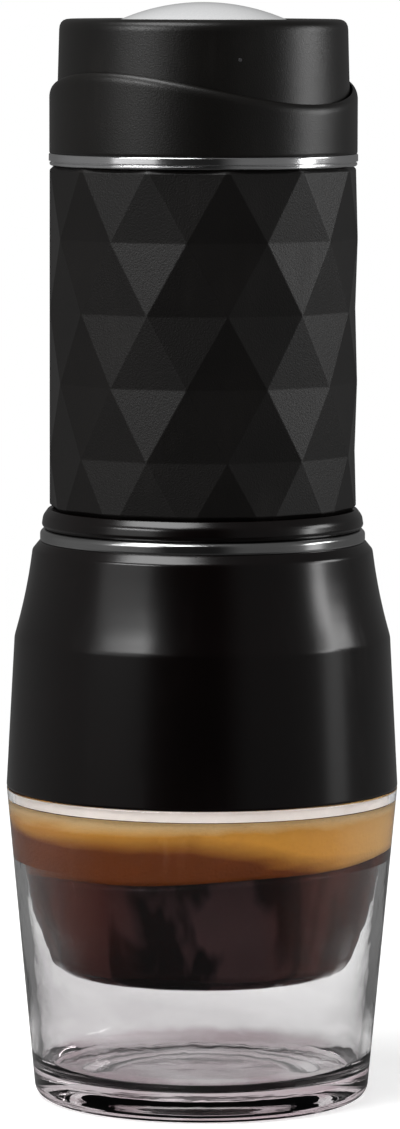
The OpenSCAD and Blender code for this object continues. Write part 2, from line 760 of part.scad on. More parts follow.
module outlet_poppet() {
    color([0.7, 0.7, 0.72])
        rotate_extrude()
            polygon([
                [0, valve_z - 1.2 - touch], [poppet_r - 0.5, valve_z - 1.2 - touch],
                [poppet_r, valve_z - 0.7 - touch], [poppet_r, valve_z - touch],
                [poppet_stem_r, valve_z - touch], [poppet_stem_r, collar_drop_z],
                [outlet_r - 0.5, collar_drop_z], [outlet_r - 0.5, collar_drop_z + 0.8],
                [poppet_stem_r, collar_drop_z + 1.2], [0, collar_drop_z + 1.2]]);
}

module poppet_spring() {
    seat_z = valve_z + seat_web_t + touch;
    color([0.75, 0.76, 0.78])
        coil_spring(r = (poppet_stem_r + outlet_r) / 2, wire = 0.3, z0 = seat_z,
            height = collar_drop_z - seat_z - touch, turns = 5, steps = 16, sides = 6);
}

// ---------------------------------------------------------------- head

module spring_washer() {
    color([0.85, 0.83, 0.76])
        ring(rod_r + 2.5, washer_r, well_floor_z, well_floor_z + washer_t);
}

module return_spring() {
    seat_z = well_floor_z + washer_t + touch;
    color([0.75, 0.76, 0.78])
        coil_spring(r = spring_r, wire = spring_wire, z0 = seat_z,
            height = head_ceiling_z - seat_z - touch, turns = spring_turns, steps = 24, sides = 8);
}

module pump_head() {
    side_r = head_r - head_draft;
    edge_z = head_top_z - head_edge_r;
    recess_r = crown_r + 0.2;
    boss_r = rod_r + 2;
    color([0.09, 0.09, 0.095]) {
        difference() {
            rotate_extrude()
                polygon(concat(
                    [[head_r - head_wall, head_foot_z], [head_r - 0.3, head_foot_z]],
                    [[head_r, head_foot_z + 0.3]],
                    turn_points([side_r - head_edge_r, edge_z], head_edge_r, 0, 90, 8),
                    [[recess_r, head_top_z], [recess_r, crown_seat_z], [0, crown_seat_z]],
                    [[0, head_ceiling_z - boss_h], [boss_r, head_ceiling_z - boss_h]],
                    [[boss_r, head_ceiling_z]],
                    [[stem_r - stem_wall, head_ceiling_z], [stem_r - stem_wall, stem_foot_z]],
                    [[stem_r - 0.4, stem_foot_z], [stem_r, stem_foot_z + 0.4], [stem_r, head_ceiling_z]],
                    [[head_r - head_wall - 0.8, head_ceiling_z]],
                    [[head_r - head_wall - 0.1, head_ceiling_z - 1.5]]));
            translate([0, 0, head_ceiling_z - boss_h - 1])
                cylinder(r = rod_r + touch, h = rod_top_z - head_ceiling_z + boss_h + 1, $fn = 48);
            translate([0, 0, rod_top_z - 1])
                cylinder(r = rod_screw_r + slip, h = crown_seat_z - rod_top_z + 2, $fn = 32);
            translate([0, 0, crown_seat_z - 1])
                cylinder(r = 3.2, h = 2, $fn = 48);
        }
        lock_lugs();
    }
}

// Two lugs that pass the deck's notches and lock under it when the head is turned
module lock_lugs() {
    half = lug_angle / 2;
    reach = lug_r + 4;
    for (side = [0, 180])
        rotate(side)
            translate([0, 0, lug_top_z - lug_h])
                linear_extrude(lug_h)
                    intersection() {
                        difference() {
                            circle(lug_r);
                            circle(stem_r - 0.5);
                        }
                        polygon([[0, 0], reach * [cos(half), -sin(half)], reach * [cos(half), sin(half)]]);
                    }
}

module crown_disc() {
    peak_z = head_top_z + crown_rise;
    rim_angle = asin(crown_r / crown_ball_r);
    color([0.86, 0.87, 0.88])
        rotate_extrude()
            polygon(concat(
                [[0, crown_seat_z], [crown_r - 0.3, crown_seat_z], [crown_r, crown_seat_z + 0.2]],
                turn_points([0, peak_z - crown_ball_r], crown_ball_r, 90 - rim_angle, 90, 20)));
}

module piston_rod() {
    color([0.75, 0.76, 0.78])
        difference() {
            translate([0, 0, piston_z + 3])
                cylinder(r = rod_r, h = rod_top_z - touch - piston_z - 3, $fn = 48);
            translate([0, 0, rod_top_z - 7])
                cylinder(r = rod_screw_r, h = 8, $fn = 32);
        }
}

module piston() {
    color([0.86, 0.86, 0.84])
        difference() {
            translate([0, 0, piston_z])
                cylinder(r = piston_r, h = piston_h);
            translate([0, 0, piston_z + 3])
                cylinder(r = rod_r + touch, h = piston_h, $fn = 48);
            piston_seal_rings(piston_seal_t + touch);
        }
}

module piston_seal_rings(section_r) {
    for (t = [0.27, 0.73])
        o_ring(piston_seal_r, section_r, piston_z + t * piston_h);
}

module piston_seals() {
    color([0.15, 0.15, 0.16])
        piston_seal_rings(piston_seal_t);
}

module head_screw() {
    head_z = crown_seat_z - 1;
    color([0.7, 0.71, 0.73])
        difference() {
            union() {
                translate([0, 0, rod_top_z - 5])
                    cylinder(r = rod_screw_r - touch, h = head_z - rod_top_z + 5.2, $fn = 32);
                translate([0, 0, head_z])
                    cylinder(r = 2.9, h = 0.95, $fn = 48);
            }
            translate([0, 0, head_z + 0.4])
                cylinder(r = 1.2, h = 1, $fn = 6);
        }
}

cup_shell();
cup_liner();
cup_seal();
skirt_shell();
filter_holder();
spout();
filter_basket();
basket_screen();
basket_gasket();
trim_ring_lower();
water_tank();
tank_foot_ring();
grip_sleeve();
trim_ring_upper();
dispersion_screen();
lid_collar();
tank_lid();
tank_gasket();
pump_cylinder();
cylinder_screws();
guide_bush();
rod_seal();
valve_body();
foot_seal();
inlet_ball();
outlet_poppet();
poppet_spring();
spring_washer();
return_spring();
pump_head();
crown_disc();
piston_rod();
piston();
piston_seals();
head_screw();
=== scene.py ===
"""Dresses the handheld espresso maker: its own turned, faceted and coiled surfaces, its finishes,
the coffee in its cup, and a plain studio. Lengths are in millimetres, but those of the settings,
the finishes and the studio are in metres."""

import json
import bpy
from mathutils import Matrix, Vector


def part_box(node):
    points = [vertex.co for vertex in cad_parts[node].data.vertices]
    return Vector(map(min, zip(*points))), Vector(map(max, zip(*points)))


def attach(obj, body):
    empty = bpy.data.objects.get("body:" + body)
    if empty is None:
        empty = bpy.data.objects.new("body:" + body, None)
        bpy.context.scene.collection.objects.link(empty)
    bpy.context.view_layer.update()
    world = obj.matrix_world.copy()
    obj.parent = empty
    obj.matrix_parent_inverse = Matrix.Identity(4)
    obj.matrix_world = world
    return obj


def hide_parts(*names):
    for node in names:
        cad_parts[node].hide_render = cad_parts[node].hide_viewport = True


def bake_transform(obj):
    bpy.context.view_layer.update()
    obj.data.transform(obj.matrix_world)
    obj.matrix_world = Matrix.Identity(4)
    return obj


bl_info = {
    "name": "Handheld Espresso Maker",
    "version": (1, 0, 0),
    "blender": (4, 5, 0),
    "location": "View3D > Sidebar > Espresso",
    "description": "Detailed surfaces, finishes and a studio for the handheld espresso maker",
    "category": "Object",
}

import bpy
import numpy as np
from bpy.props import FloatProperty, FloatVectorProperty, IntProperty, PointerProperty
from mathutils import Matrix, Vector

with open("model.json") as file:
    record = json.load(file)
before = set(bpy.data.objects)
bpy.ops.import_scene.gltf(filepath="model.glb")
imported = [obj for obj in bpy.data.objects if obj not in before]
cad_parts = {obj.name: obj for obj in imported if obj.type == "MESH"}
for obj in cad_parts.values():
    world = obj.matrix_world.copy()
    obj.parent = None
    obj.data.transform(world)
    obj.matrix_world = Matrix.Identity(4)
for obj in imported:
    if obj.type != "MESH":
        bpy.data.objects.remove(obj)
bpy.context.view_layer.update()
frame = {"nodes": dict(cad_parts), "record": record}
MM = 0.001
TURN = 2 * np.pi


def low(node):
    """Height of a node's lowest point."""
    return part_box(node)[0].z / MM


def top(node):
    """Height of a node's highest point."""
    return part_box(node)[1].z / MM


def reach(node):
    """A round node's outer radius."""
    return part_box(node)[1].x / MM


# Levels of the stack, read from the frame
SKIRT_Z = low("skirt_shell")
DECK_Z = top("skirt_shell")
TANK_Z = low("tank_foot_ring")
SLEEVE_Z = low("grip_sleeve")
RING_Z = low("trim_ring_upper")
LID_Z = low("lid_collar")
HEAD_TOP_Z = top("pump_head")
PEAK_Z = top("crown_disc")

# Sizes of the solids that their boxes don't give
CUP_TAPER = 5.4  # from the cup's rim in to its foot
CUP_WALL = 2.0
CUP_BASE = 5.4  # thickness of the cup's base
BOWL_FLOOR = 25.8  # height of the bowl's floor
BOWL_BASE = 2.4  # thickness of the bowl's floor
BOWL_CORNER = 1.5  # rounding inside the bowl
NECK_WALL = 2.3
NECK_GAP = 0.95  # from the skirt's socket in to the cup's neck
LEDGE_DROP = 2.2  # from the cup's rim down to the ledge that carries the bowl
SKIRT_WALL = 1.85
SLEEVE_R = 28.3  # of the sleeve's corners
SLEEVE_DROP = 2.75  # from the sleeve's foot down to its lowest row of corners, which is cut off
STEM_R = 14.6  # of the head's stem
HEAD_WALL = 1.8

# Radii, slope and level that the cup, its bowl and its coffee share
FOOT_R = reach("cup_shell") - CUP_TAPER
TAPER = CUP_TAPER / SKIRT_Z
NECK_R = reach("skirt_shell") - SKIRT_WALL - NECK_GAP
NECK_IN_R = NECK_R - NECK_WALL
BOWL_R = NECK_R - 0.2
LEDGE_Z = SKIRT_Z - LEDGE_DROP
CORNER_AT = (BOWL_R - 8.1, BOWL_FLOOR + BOWL_CORNER)
HIP = (BOWL_R - 2.8, LEDGE_Z - 8)  # where the bowl's flank turns up to the neck


# ------------------------------------------------------------------ sizes and colours


def count(name, description, default, least, most):
    """A whole-number setting."""
    return IntProperty(name=name, description=description, default=default, min=least, max=most)


def length(name, description, default, least, most):
    """A length setting, in metres."""
    return FloatProperty(
        name=name, description=description, default=default, min=least, max=most,
        unit="LENGTH", subtype="DISTANCE",
    )


def angle(name, description, degrees):
    """An angle setting with its default in degrees."""
    return FloatProperty(
        name=name, description=description, default=np.radians(degrees),
        unit="ROTATION", subtype="ANGLE",
    )


def colour(name, description, rgb):
    """A colour setting with its default, in linear light."""
    return FloatVectorProperty(
        name=name, description=description, subtype="COLOR", size=3, min=0, max=1, default=rgb
    )


def glow(name, description, default):
    """A setting for a light's brightness."""
    return FloatProperty(name=name, description=description, default=default, min=0, max=50)


class EspressoSizes(bpy.types.PropertyGroup):
    """Sizes that a user would change."""

    sides: count("Sides", "Steps round a turned surface", 192, 48, 384)
    edge: length("Flange edge", "Rounding of the edges of the flange under the sleeve",
                 0.0003, 0.0001, 0.001)
    crease: length("Crease rounding", "Rounding of the crease round the skirt",
                   0.0004, 0.0002, 0.003)
    facet_edge: length("Facet edge", "Width of the softened edges between the sleeve's facets",
                       0.0003, 0.0001, 0.001)
    facets: count("Facets", "Facets round the sleeve", 12, 8, 20)
    facet_rows: count("Facet rows", "Rows of facets up the sleeve", 5, 3, 8)
    facet_turn: angle("Facet turn", "Turn of the facets about the axis", 24)
    wave_height: length("Wave height", "Mean height of the collar's edge above its foot",
                        0.0121, 0.008, 0.016)
    wave_rise: length("Wave rise", "Rise and fall of the collar's edge", 0.00285, 0, 0.004)
    wave_turn: angle("Wave turn", "Direction of the wave's crests about the axis", 48)
    coffee_level: length("Coffee level", "Height of the coffee under its crema",
                         0.0443, 0.027, 0.05)
    crema_level: length("Crema level", "Height of the top of the crema", 0.0554, 0.03, 0.0554)


class EspressoColours(bpy.types.PropertyGroup):
    """Colours that a user would change."""

    gloss_black: colour("Gloss black", "Skirt and foot ring", (0.0014, 0.0004, 0.0003))
    satin_black: colour("Satin black", "Head and collar", (0.0028, 0.0022, 0.0016))
    grip_black: colour("Grip black", "Soft-touch sleeve", (0.0034, 0.0026, 0.0022))
    inner_black: colour("Inner black", "Moulded parts inside", (0.030, 0.030, 0.032))
    chrome: colour("Chrome", "Ring above the sleeve", (0.80, 0.80, 0.81))
    # Painted shade: a darker copy of the chrome, for the ring on the skirt
    smoked_chrome: colour("Smoked chrome", "Ring on the skirt", (0.42, 0.42, 0.42))
    steel: colour("Steel", "Basket, screens, springs and rod", (0.56, 0.56, 0.57))
    crown: colour("Crown", "Domed disc in the head", (0.95, 0.96, 0.97))
    clear: colour("Clear", "Cup", (0.985, 0.985, 0.985))
    # Painted shade: grey for the cup's lower wall
    smoke: colour("Smoke", "Lower wall of the cup, where much plastic is looked through",
                  (0.735, 0.722, 0.728))
    # Painted reflection: the coffee's tone in the cup's foot
    mauve: colour("Mauve", "Foot of the cup, which takes up the coffee's tone",
                  (0.500, 0.400, 0.430))
    # Painted highlight: pale band where the cup's walls join
    frost: colour("Frost", "Joint of the cup's two walls", (0.80, 0.72, 0.67))
    coffee_deep: colour("Deep coffee", "Coffee inside the cup", (0.0030, 0.0006, 0.0004))
    # Painted reflection: mauve-brown patches in the coffee
    coffee_painted_reflection: colour("Thin coffee", "Coffee where light gets through", (0.070, 0.036, 0.038))
    # Painted light: redder coffee at the sides of the cup
    coffee_painted_light: colour("Red coffee", "Coffee at the sides of the cup", (0.085, 0.014, 0.005))
    crema_dark: colour("Dark crema", "Lower edge of the crema", (0.165, 0.034, 0.0008))
    crema_gold: colour("Golden crema", "Middle of the crema", (0.750, 0.340, 0.045))
    crema_pale: colour("Pale crema", "Top of the crema", (0.950, 0.640, 0.300))
    seal_black: colour("Black seal", "Moving seals", (0.012, 0.012, 0.012))
    seal_red: colour("Red seal", "Gaskets", (0.420, 0.035, 0.020))
    pale: colour("Pale plastic", "Bush, washer, piston and valve body", (0.62, 0.61, 0.56))


class EspressoStudio(bpy.types.PropertyGroup):
    """Light and camera."""

    lens: FloatProperty(
        name="Lens", description="Focal length on the picture's long side",
        default=187.33, min=50, max=400, unit="CAMERA",
    )
    distance: length("Camera distance", "Camera's distance from the axis", 1.073, 0.4, 3)
    high_glow: glow("High left light", "Brightness of the high light on the left", 12.0)
    low_glow: glow("Low left light", "Brightness of the wide light on the left", 0.85)
    right_glow: glow("Low right light", "Brightness of the low light on the right", 7.5)
    side_glow: glow("Side light", "Brightness of the faint light near the floor on the right",
                    0.85)
    rear_glow: glow("High right light", "Brightness of the high light on the right", 5.6)
    top_glow: glow("Top light", "Brightness of the light overhead", 7.0)
    ambient: glow("Ambient", "Brightness of the room, where it lights the object", 0.32)


# ------------------------------------------------------------------ surfaces


def arc(centre, radius, start, end, count):
    """Points of a circle's arc: centre + radius (cos a, sin a), a from start to end in degrees."""
    a = np.radians(np.linspace(start, end, count))
    return np.array(centre) + radius * np.stack([np.cos(a), np.sin(a)], -1)


def round_axis(count):
    """Angles of that many even steps over a full turn."""
    return np.linspace(0, TURN, count, endpoint=False)


def carried(out, a, z):
    """Points at a distance from the axis, an angle round it and a height: (out cos a, out sin a,
    z). The three may be arrays that spread over one another."""
    return np.stack(np.broadcast_arrays(out * np.cos(a), out * np.sin(a), z), -1)


def each(points, rounding):
    """Corners (r, z, rounding) from points that share one rounding."""
    return [(*point, rounding) for point in points]


def eased(corners, looped=True):
    """A profile with rounded corners, from rows (r, z, rounding). Each corner c, with unit ways u
    and v to its neighbours, becomes the curve (1 - t)^2 (c + d u) + 2 t (1 - t) c +
    t^2 (c + d v), where d is the rounding, cut to a share of the shorter side. One more point
    beyond each end of the curve, at d + hold, keeps the flat beside it flat. An open profile
    leaves out the first and the last of these, which lie on the axis."""
    steps, most, most_hold, hold_share = 5, 0.4, 0.25, 0.08
    corners = np.array(corners, float)
    corners, rounding = corners[:, :2], corners[:, 2]
    u = np.roll(corners, 1, 0) - corners
    v = np.roll(corners, -1, 0) - corners
    u_length, v_length = np.linalg.norm(u, axis=1), np.linalg.norm(v, axis=1)
    shorter = np.minimum(u_length, v_length)
    d = np.minimum(rounding, most * shorter)[:, None, None]
    hold = np.minimum(most_hold, hold_share * shorter)[:, None, None]
    u, v = (u / u_length[:, None])[:, None], (v / v_length[:, None])[:, None]
    c = corners[:, None]
    t = np.linspace(0, 1, steps + 1)[None, :, None]
    curve = (1 - t) ** 2 * (c + d * u) + 2 * t * (1 - t) * c + t**2 * (c + d * v)
    bent = np.concatenate([c + (d + hold) * u, curve, c + (d + hold) * v], axis=1)
    return (bent if looped else bent[1:-1]).reshape(-1, 2)


def turned(profile, sides):
    """Profile points (r, z) carried round the axis: (r cos a, r sin a, z), a over a full turn."""
    r, z = np.array(profile).T[..., None]
    return carried(r, round_axis(sides), z)


def banded(near, far):
    """Four-sided faces between two closed rings of point numbers: (k, next k, next far, far)."""
    return np.stack([near, np.roll(near, -1, -1), np.roll(far, -1, -1), far], -1)


def skin(grid, looped=True, start=None, end=None):
    """Points and faces of a grid of rows and columns. Each column joins the next and the last
    joins the first. Looped rows do the same; otherwise the points start and end close the first
    and the last row with a fan."""
    rows, columns = grid.shape[:2]
    index = np.arange(rows * columns).reshape(rows, columns)
    near = index if looped else index[:-1]
    far = np.roll(index, -1, 0) if looped else index[1:]
    faces = banded(near, far).reshape(-1, 4).tolist()
    points = grid.reshape(-1, 3)
    for hub, row, flip in ((start, index[0], 1), (end, index[-1], -1)):
        if hub is not None:
            middle = np.full(columns, len(points))
            faces += np.stack([middle, np.roll(row, -1), row], -1)[:, ::flip].tolist()
            points = np.vstack([points, hub])
    return points, faces


def capped(grid):
    """A tube whose two ends are closed at the middles of its first and last rows."""
    return skin(grid, False, grid[0].mean(0), grid[-1].mean(0))


def coil(radius, wire, heights, steps, sides):
    """A round wire carried up a helix: with a the way round and b the way round the wire, the
    point is radius + wire cos b out from the axis at a, and height(a) - wire sin b up."""
    a = np.arange(len(heights))[:, None] * TURN / steps
    b = -np.arange(sides)[None, :] * TURN / sides
    return carried(radius + wire * np.cos(b), a, heights[:, None] + wire * np.sin(b))


def wire_heights(foot, height, turns, wire, steps):
    """Heights of a spring's wire. The first and the last turn rise by 2.1 wires each, so that
    they lie close, and the turns between share the rest evenly."""
    t = np.arange(turns * steps + 1) / steps
    close = 2.1 * wire
    rise = (height - 2 * wire - 2 * close) / (turns - 2)
    middle = close + (t - 1) * rise
    last = height - 2 * wire - (turns - t) * close
    return foot + wire + np.where(t < 1, t * close, np.where(t > turns - 1, last, middle))


# ------------------------------------------------------------------ shared effects


def effect(name, numbers, *results):
    """An empty node group that takes a place and some numbers, given with their defaults, and
    puts out numbers."""
    group = bpy.data.node_groups.new(name, "ShaderNodeTree")
    socket = group.interface.new_socket
    socket(name="Place", in_out="INPUT", socket_type="NodeSocketVector")
    for label, default in numbers.items():
        made = socket(name=label, in_out="INPUT", socket_type="NodeSocketFloat")
        made.default_value = default
    for label in results:
        socket(name=label, in_out="OUTPUT", socket_type="NodeSocketFloat")
    return group, group.nodes.new("NodeGroupInput").outputs, group.nodes.new("NodeGroupOutput")


def feed(tree, made, values):
    """Sets or links a node's input sockets, by name or number."""
    for key, value in values.items():
        if isinstance(value, bpy.types.NodeSocket):
            tree.links.new(value, made.inputs[key])
        else:
            made.inputs[key].default_value = value


def node(tree, kind, values=None, **settings):
    """A node with its settings, and with its input sockets fed."""
    made = tree.nodes.new("ShaderNode" + kind)
    for key, value in settings.items():
        setattr(made, key, value)
    feed(tree, made, values or {})
    return made


def maths(tree, operation, *values, clamp=False):
    """A maths node's result. Three values or more are taken one after another."""
    while len(values) > 2:
        values = (maths(tree, operation, *values[:2]), *values[2:])
    return node(
        tree, "Math", dict(enumerate(values)), operation=operation, use_clamp=clamp
    ).outputs[0]


def times(tree, *values):
    """Values multiplied together."""
    return maths(tree, "MULTIPLY", *values)


def plus(tree, *values):
    """Values added together."""
    return maths(tree, "ADD", *values)


def without(tree, share):
    """What a share leaves of one."""
    return maths(tree, "SUBTRACT", 1.0, share, clamp=True)


def span(tree, value, from_low, from_high, to_low=0.0, to_high=1.0):
    """value carried from one range to another, held at its ends."""
    return node(
        tree, "MapRange", {0: value, 1: from_low, 2: from_high, 3: to_low, 4: to_high}
    ).outputs[0]


def blend(tree, share, a, b):
    """Colour a going over to colour b as share goes from 0 to 1."""
    return node(tree, "Mix", {0: share, 6: a, 7: b}, data_type="RGBA").outputs[2]


def mixed(tree, share, a, b):
    """Shader node a going over to shader node b as share goes from 0 to 1."""
    return node(tree, "MixShader", {0: share, 1: a.outputs[0], 2: b.outputs[0]})


def noise(tree, place, scale, detail, stretch=None, **more):
    """Noise of that scale at a place, whose axes are first multiplied by stretch."""
    if stretch:
        place = node(tree, "Mapping", {"Vector": place, "Scale": stretch}).outputs[0]
    return node(
        tree, "TexNoise", {"Vector": place, "Scale": scale, "Detail": detail, **more}
    ).outputs[0]


def cells(tree, place, scale):
    """Distance from the nearest of that many scattered points per metre."""
    return node(tree, "TexVoronoi", {"Vector": place, "Scale": scale}).outputs["Distance"]


def paths(tree):
    """Light paths of four kinds, each 1 for its kind and otherwise 0. Seen: they reach the eye
    straight or only through clear pieces. Gloss: a gloss sent them on. Inside: they light
    something behind a clear wall. Walled: of the gloss, those that crossed a clear wall. The
    rest light the object from outside."""
    rays = node(tree, "LightPath").outputs
    matt = maths(tree, "LESS_THAN", rays["Diffuse Depth"], 0.5)
    direct = maths(tree, "LESS_THAN", rays["Glossy Depth"], 0.5)
    cleared = maths(tree, "GREATER_THAN", rays["Transmission Depth"], 0.5)
    through = maths(tree, "MAXIMUM", rays["Is Camera Ray"], rays["Is Transmission Ray"])
    seen = times(tree, matt, direct, through)
    gloss = times(tree, matt, without(tree, direct))
    inside = times(tree, rays["Is Transmission Ray"], without(tree, matt))
    return seen, gloss, inside, times(tree, gloss, cleared)


def round_front(tree, x, y):
    """A direction's angle from the dark front, which lies a little to the left of the camera."""
    front = 0.12
    turn = maths(tree, "ARCTAN2", x, times(tree, y, -1.0))
    return maths(tree, "ABSOLUTE", plus(tree, turn, front))


def shared(name):
    """Makes a function's node group once; later calls find it by its name."""
    def keep(make):
        return lambda: bpy.data.node_groups.get(name) or make(name)
    return keep


@shared("moulded grain")
def moulded_grain(name):
    """Moulded plastic: fine grain, slow swells, and faint marks from handling."""
    tree, entry, leave = effect(
        name, {"Grain per metre": 3000.0, "Swell": 0.5}, "Height", "Marks", "Tone"
    )
    place = entry["Place"]
    fine = noise(tree, place, entry["Grain per metre"], 2.0, Roughness=0.6)
    swells = times(tree, noise(tree, place, 45.0, 2.0), entry["Swell"])
    streaks = noise(tree, place, 260.0, 5.0, (1.0, 1.0, 0.12), Roughness=0.65)
    patches = noise(tree, place, 75.0, 3.0)
    feed(tree, leave, {
        "Height": plus(tree, fine, swells),
        "Marks": times(tree, span(tree, streaks, 0.5, 0.72), span(tree, patches, 0.42, 0.62)),
        "Tone": span(tree, patches, 0.35, 0.65),
    })
    return tree


@shared("turned lines")
def turned_lines(name):
    """Turned or rolled metal: fine lines round the axis, broken up along their way."""
    tree, entry, leave = effect(name, {"Lines per metre": 4000.0}, "Height", "Marks")
    place = entry["Place"]
    lines = noise(tree, place, entry["Lines per metre"], 2.0, (0.02, 0.02, 1.0))
    smears = span(tree, noise(tree, place, 120.0, 3.0), 0.3, 0.7, 0.3, 1.0)
    feed(tree, leave, {"Height": lines, "Marks": times(tree, lines, smears)})
    return tree


# ------------------------------------------------------------------ finishes


def blank(name):
    """A new material, its tree, its shader, and the place on the object."""
    made = bpy.data.materials.new(name)
    made.use_nodes = True
    tree = made.node_tree
    tree.nodes.clear()
    shader = node(tree, "BsdfPrincipled")
    node(tree, "OutputMaterial", {"Surface": shader.outputs[0]})
    return made, tree, shader, node(tree, "TexCoord").outputs["Object"]


def rgba(colour_value, gain=1.0):
    """A colour with its brightness changed and full alpha."""
    return tuple(min(1.0, c * gain) for c in colour_value[:3]) + (1.0,)


def grey(level):
    """A grey with full alpha."""
    return (level, level, level, 1.0)


def raised(tree, height, depth, strength=1.0):
    """The normal of a relief that deep."""
    return node(
        tree, "Bump", {"Height": height, "Strength": strength, "Distance": depth}
    ).outputs[0]


def grained(tree, place, grain, swell, depth):
    """Moulded grain: the normal of its relief, its marks and its tone."""
    group = node(
        tree, "Group", {"Place": place, "Grain per metre": grain, "Swell": swell},
        node_tree=moulded_grain(),
    ).outputs
    return raised(tree, group["Height"], depth), group["Marks"], group["Tone"]


def once(make):
    """The material of that name if it exists, or a new one."""
    def find(name, *values, **settings):
        return bpy.data.materials.get(name) or make(name, *values, **settings)
    return find


@once
def moulded(name, tone, rough, grain, depth, swell=0.4, spread=0.08, shine=0.5):
    """Moulded plastic or rubber: grain in its surface, a little tone, and rubbed marks that
    change its gloss."""
    made, tree, shader, place = blank(name)
    normal, marks, shade = grained(tree, place, grain, swell, depth)
    base = blend(tree, shade, rgba(tone, 0.85), rgba(tone, 1.2))
    feed(tree, shader, {
        "Base Color": blend(tree, times(tree, marks, 0.35), base, rgba(tone, 2.2)),
        "Roughness": span(tree, marks, 0.0, 1.0, rough, rough + spread),
        "Specular IOR Level": shine,
        "Normal": normal,
    })
    return made


@once
def metal(name, tone, rough, lines, depth, spread=0.12):
    """Metal with fine turned lines."""
    made, tree, shader, place = blank(name)
    group = node(
        tree, "Group", {"Place": place, "Lines per metre": lines}, node_tree=turned_lines()
    ).outputs
    feed(tree, shader, {
        "Base Color": blend(tree, group["Marks"], rgba(tone, 1.06), rgba(tone, 0.88)),
        "Roughness": span(tree, group["Marks"], 0.0, 1.0, rough, rough + spread),
        "Metallic": 1.0,
        "Normal": raised(tree, group["Height"], depth),
    })
    return made


@once
def pearl(name, tone):
    """Pearl silver lacquer: fine bright flakes and a faint cloud under a clear coat."""
    made, tree, shader, place = blank(name)
    flakes = cells(tree, place, 2600.0)
    cloud = noise(tree, place, 90.0, 3.0)
    share = plus(
        tree, span(tree, flakes, 0.0, 0.6, 0.0, 0.6), span(tree, cloud, 0.3, 0.7, 0.0, 0.4)
    )
    feed(tree, shader, {
        "Base Color": blend(tree, share, rgba(tone, 1.08), rgba(tone, 0.9)),
        "Roughness": span(tree, flakes, 0.0, 0.6, 0.28, 0.38),
        "Metallic": 0.2,
        "Coat Weight": 0.6,
        "Coat Roughness": 0.08,
    })
    return made


@once
def clear_plastic(name, tone, smoke, mauve):
    """Clear moulded plastic: smooth, with slow flow swells and a few hair scratches. It is clear
    above, with painted shade below the bowl, more on the left and in slow patches, and a painted
    mauve reflection of the coffee in patches in its foot."""
    made, tree, shader, place = blank(name)
    across, _, height = node(tree, "SeparateXYZ", {0: place}).outputs
    drift = noise(tree, place, 26.0, 2.0, (1.0, 1.0, 2.5), Distortion=1.2)
    # Painted shade: the wall below the bowl greys, more on the left and in slow patches
    side = span(tree, across, -0.03, 0.03, 1.2, 0.5)
    painted_shade_patches = times(tree, side, span(tree, drift, 0.3, 0.65, 0.7, 1.25))
    painted_shade_share = times(tree, span(tree, height, 0.020, 0.034, 1.0, 0.0), painted_shade_patches)
    # Painted reflection: the coffee's mauve tone in patches in the foot
    foot = span(tree, height, 0.0052, 0.0075, 1.0, 0.0)
    painted_reflection_share = times(tree, foot, span(tree, drift, 0.38, 0.56, 0.15, 1.0))
    body = blend(tree, painted_shade_share, rgba(tone), rgba(smoke))
    normal, marks, _ = grained(tree, place, 140.0, 2.0, 0.00006)
    feed(tree, shader, {
        "Base Color": blend(tree, painted_reflection_share, body, rgba(mauve)),
        "Roughness": span(tree, marks, 0.0, 1.0, 0.004, 0.10),
        "Transmission Weight": 1.0,
        "IOR": 1.5,
        "Normal": normal,
    })
    return made


@once
def frosted(name, tone):
    """The joint of the cup's walls: cloudy plastic with a fine uneven grain. Its pale tone is a
    painted highlight.
    """
    made, tree, shader, place = blank(name)
    normal, _, shade = grained(tree, place, 1800.0, 1.0, 0.00002)
    feed(tree, shader, {
        "Base Color": blend(tree, shade, rgba(tone, 0.93), rgba(tone, 1.08)),
        "Roughness": 0.5,
        "Transmission Weight": 0.25,
        "Normal": normal,
    })
    return made


@once
def brewed(name, deep, painted_reflection_tone, rim, level):
    """Coffee: nearly black brown, with upright mauve-brown patches of painted reflection, more of
    them low down, and painted light at the sides of the cup, which are redder where less of it is
    looked through."""
    made, tree, shader, place = blank(name)
    x, _, height = node(tree, "SeparateXYZ", {0: place}).outputs
    swirl = noise(tree, place, 85.0, 3.0, (1.0, 1.0, 0.3), Distortion=0.5)
    # Painted reflection: upright mauve-brown patches, more of them low down
    painted_reflection_low = span(tree, height, 0.024, level, 1.0, 0.45)
    share = times(tree, painted_reflection_low, span(tree, swirl, 0.46, 0.54, 0.06, 1.0))
    inner = blend(tree, share, rgba(deep), rgba(painted_reflection_tone))
    # Painted light: redder at the sides of the cup
    sides = span(tree, maths(tree, "ABSOLUTE", x), 0.010, 0.024)
    painted_light_sides = times(tree, sides, span(tree, swirl, 0.40, 0.58, 0.35, 1.0))
    feed(tree, shader, {
        "Base Color": blend(tree, painted_light_sides, inner, rgba(rim)),
        "Roughness": span(tree, swirl, 0.3, 0.7, 0.10, 0.22),
        "Specular IOR Level": 0.08,
    })
    return made


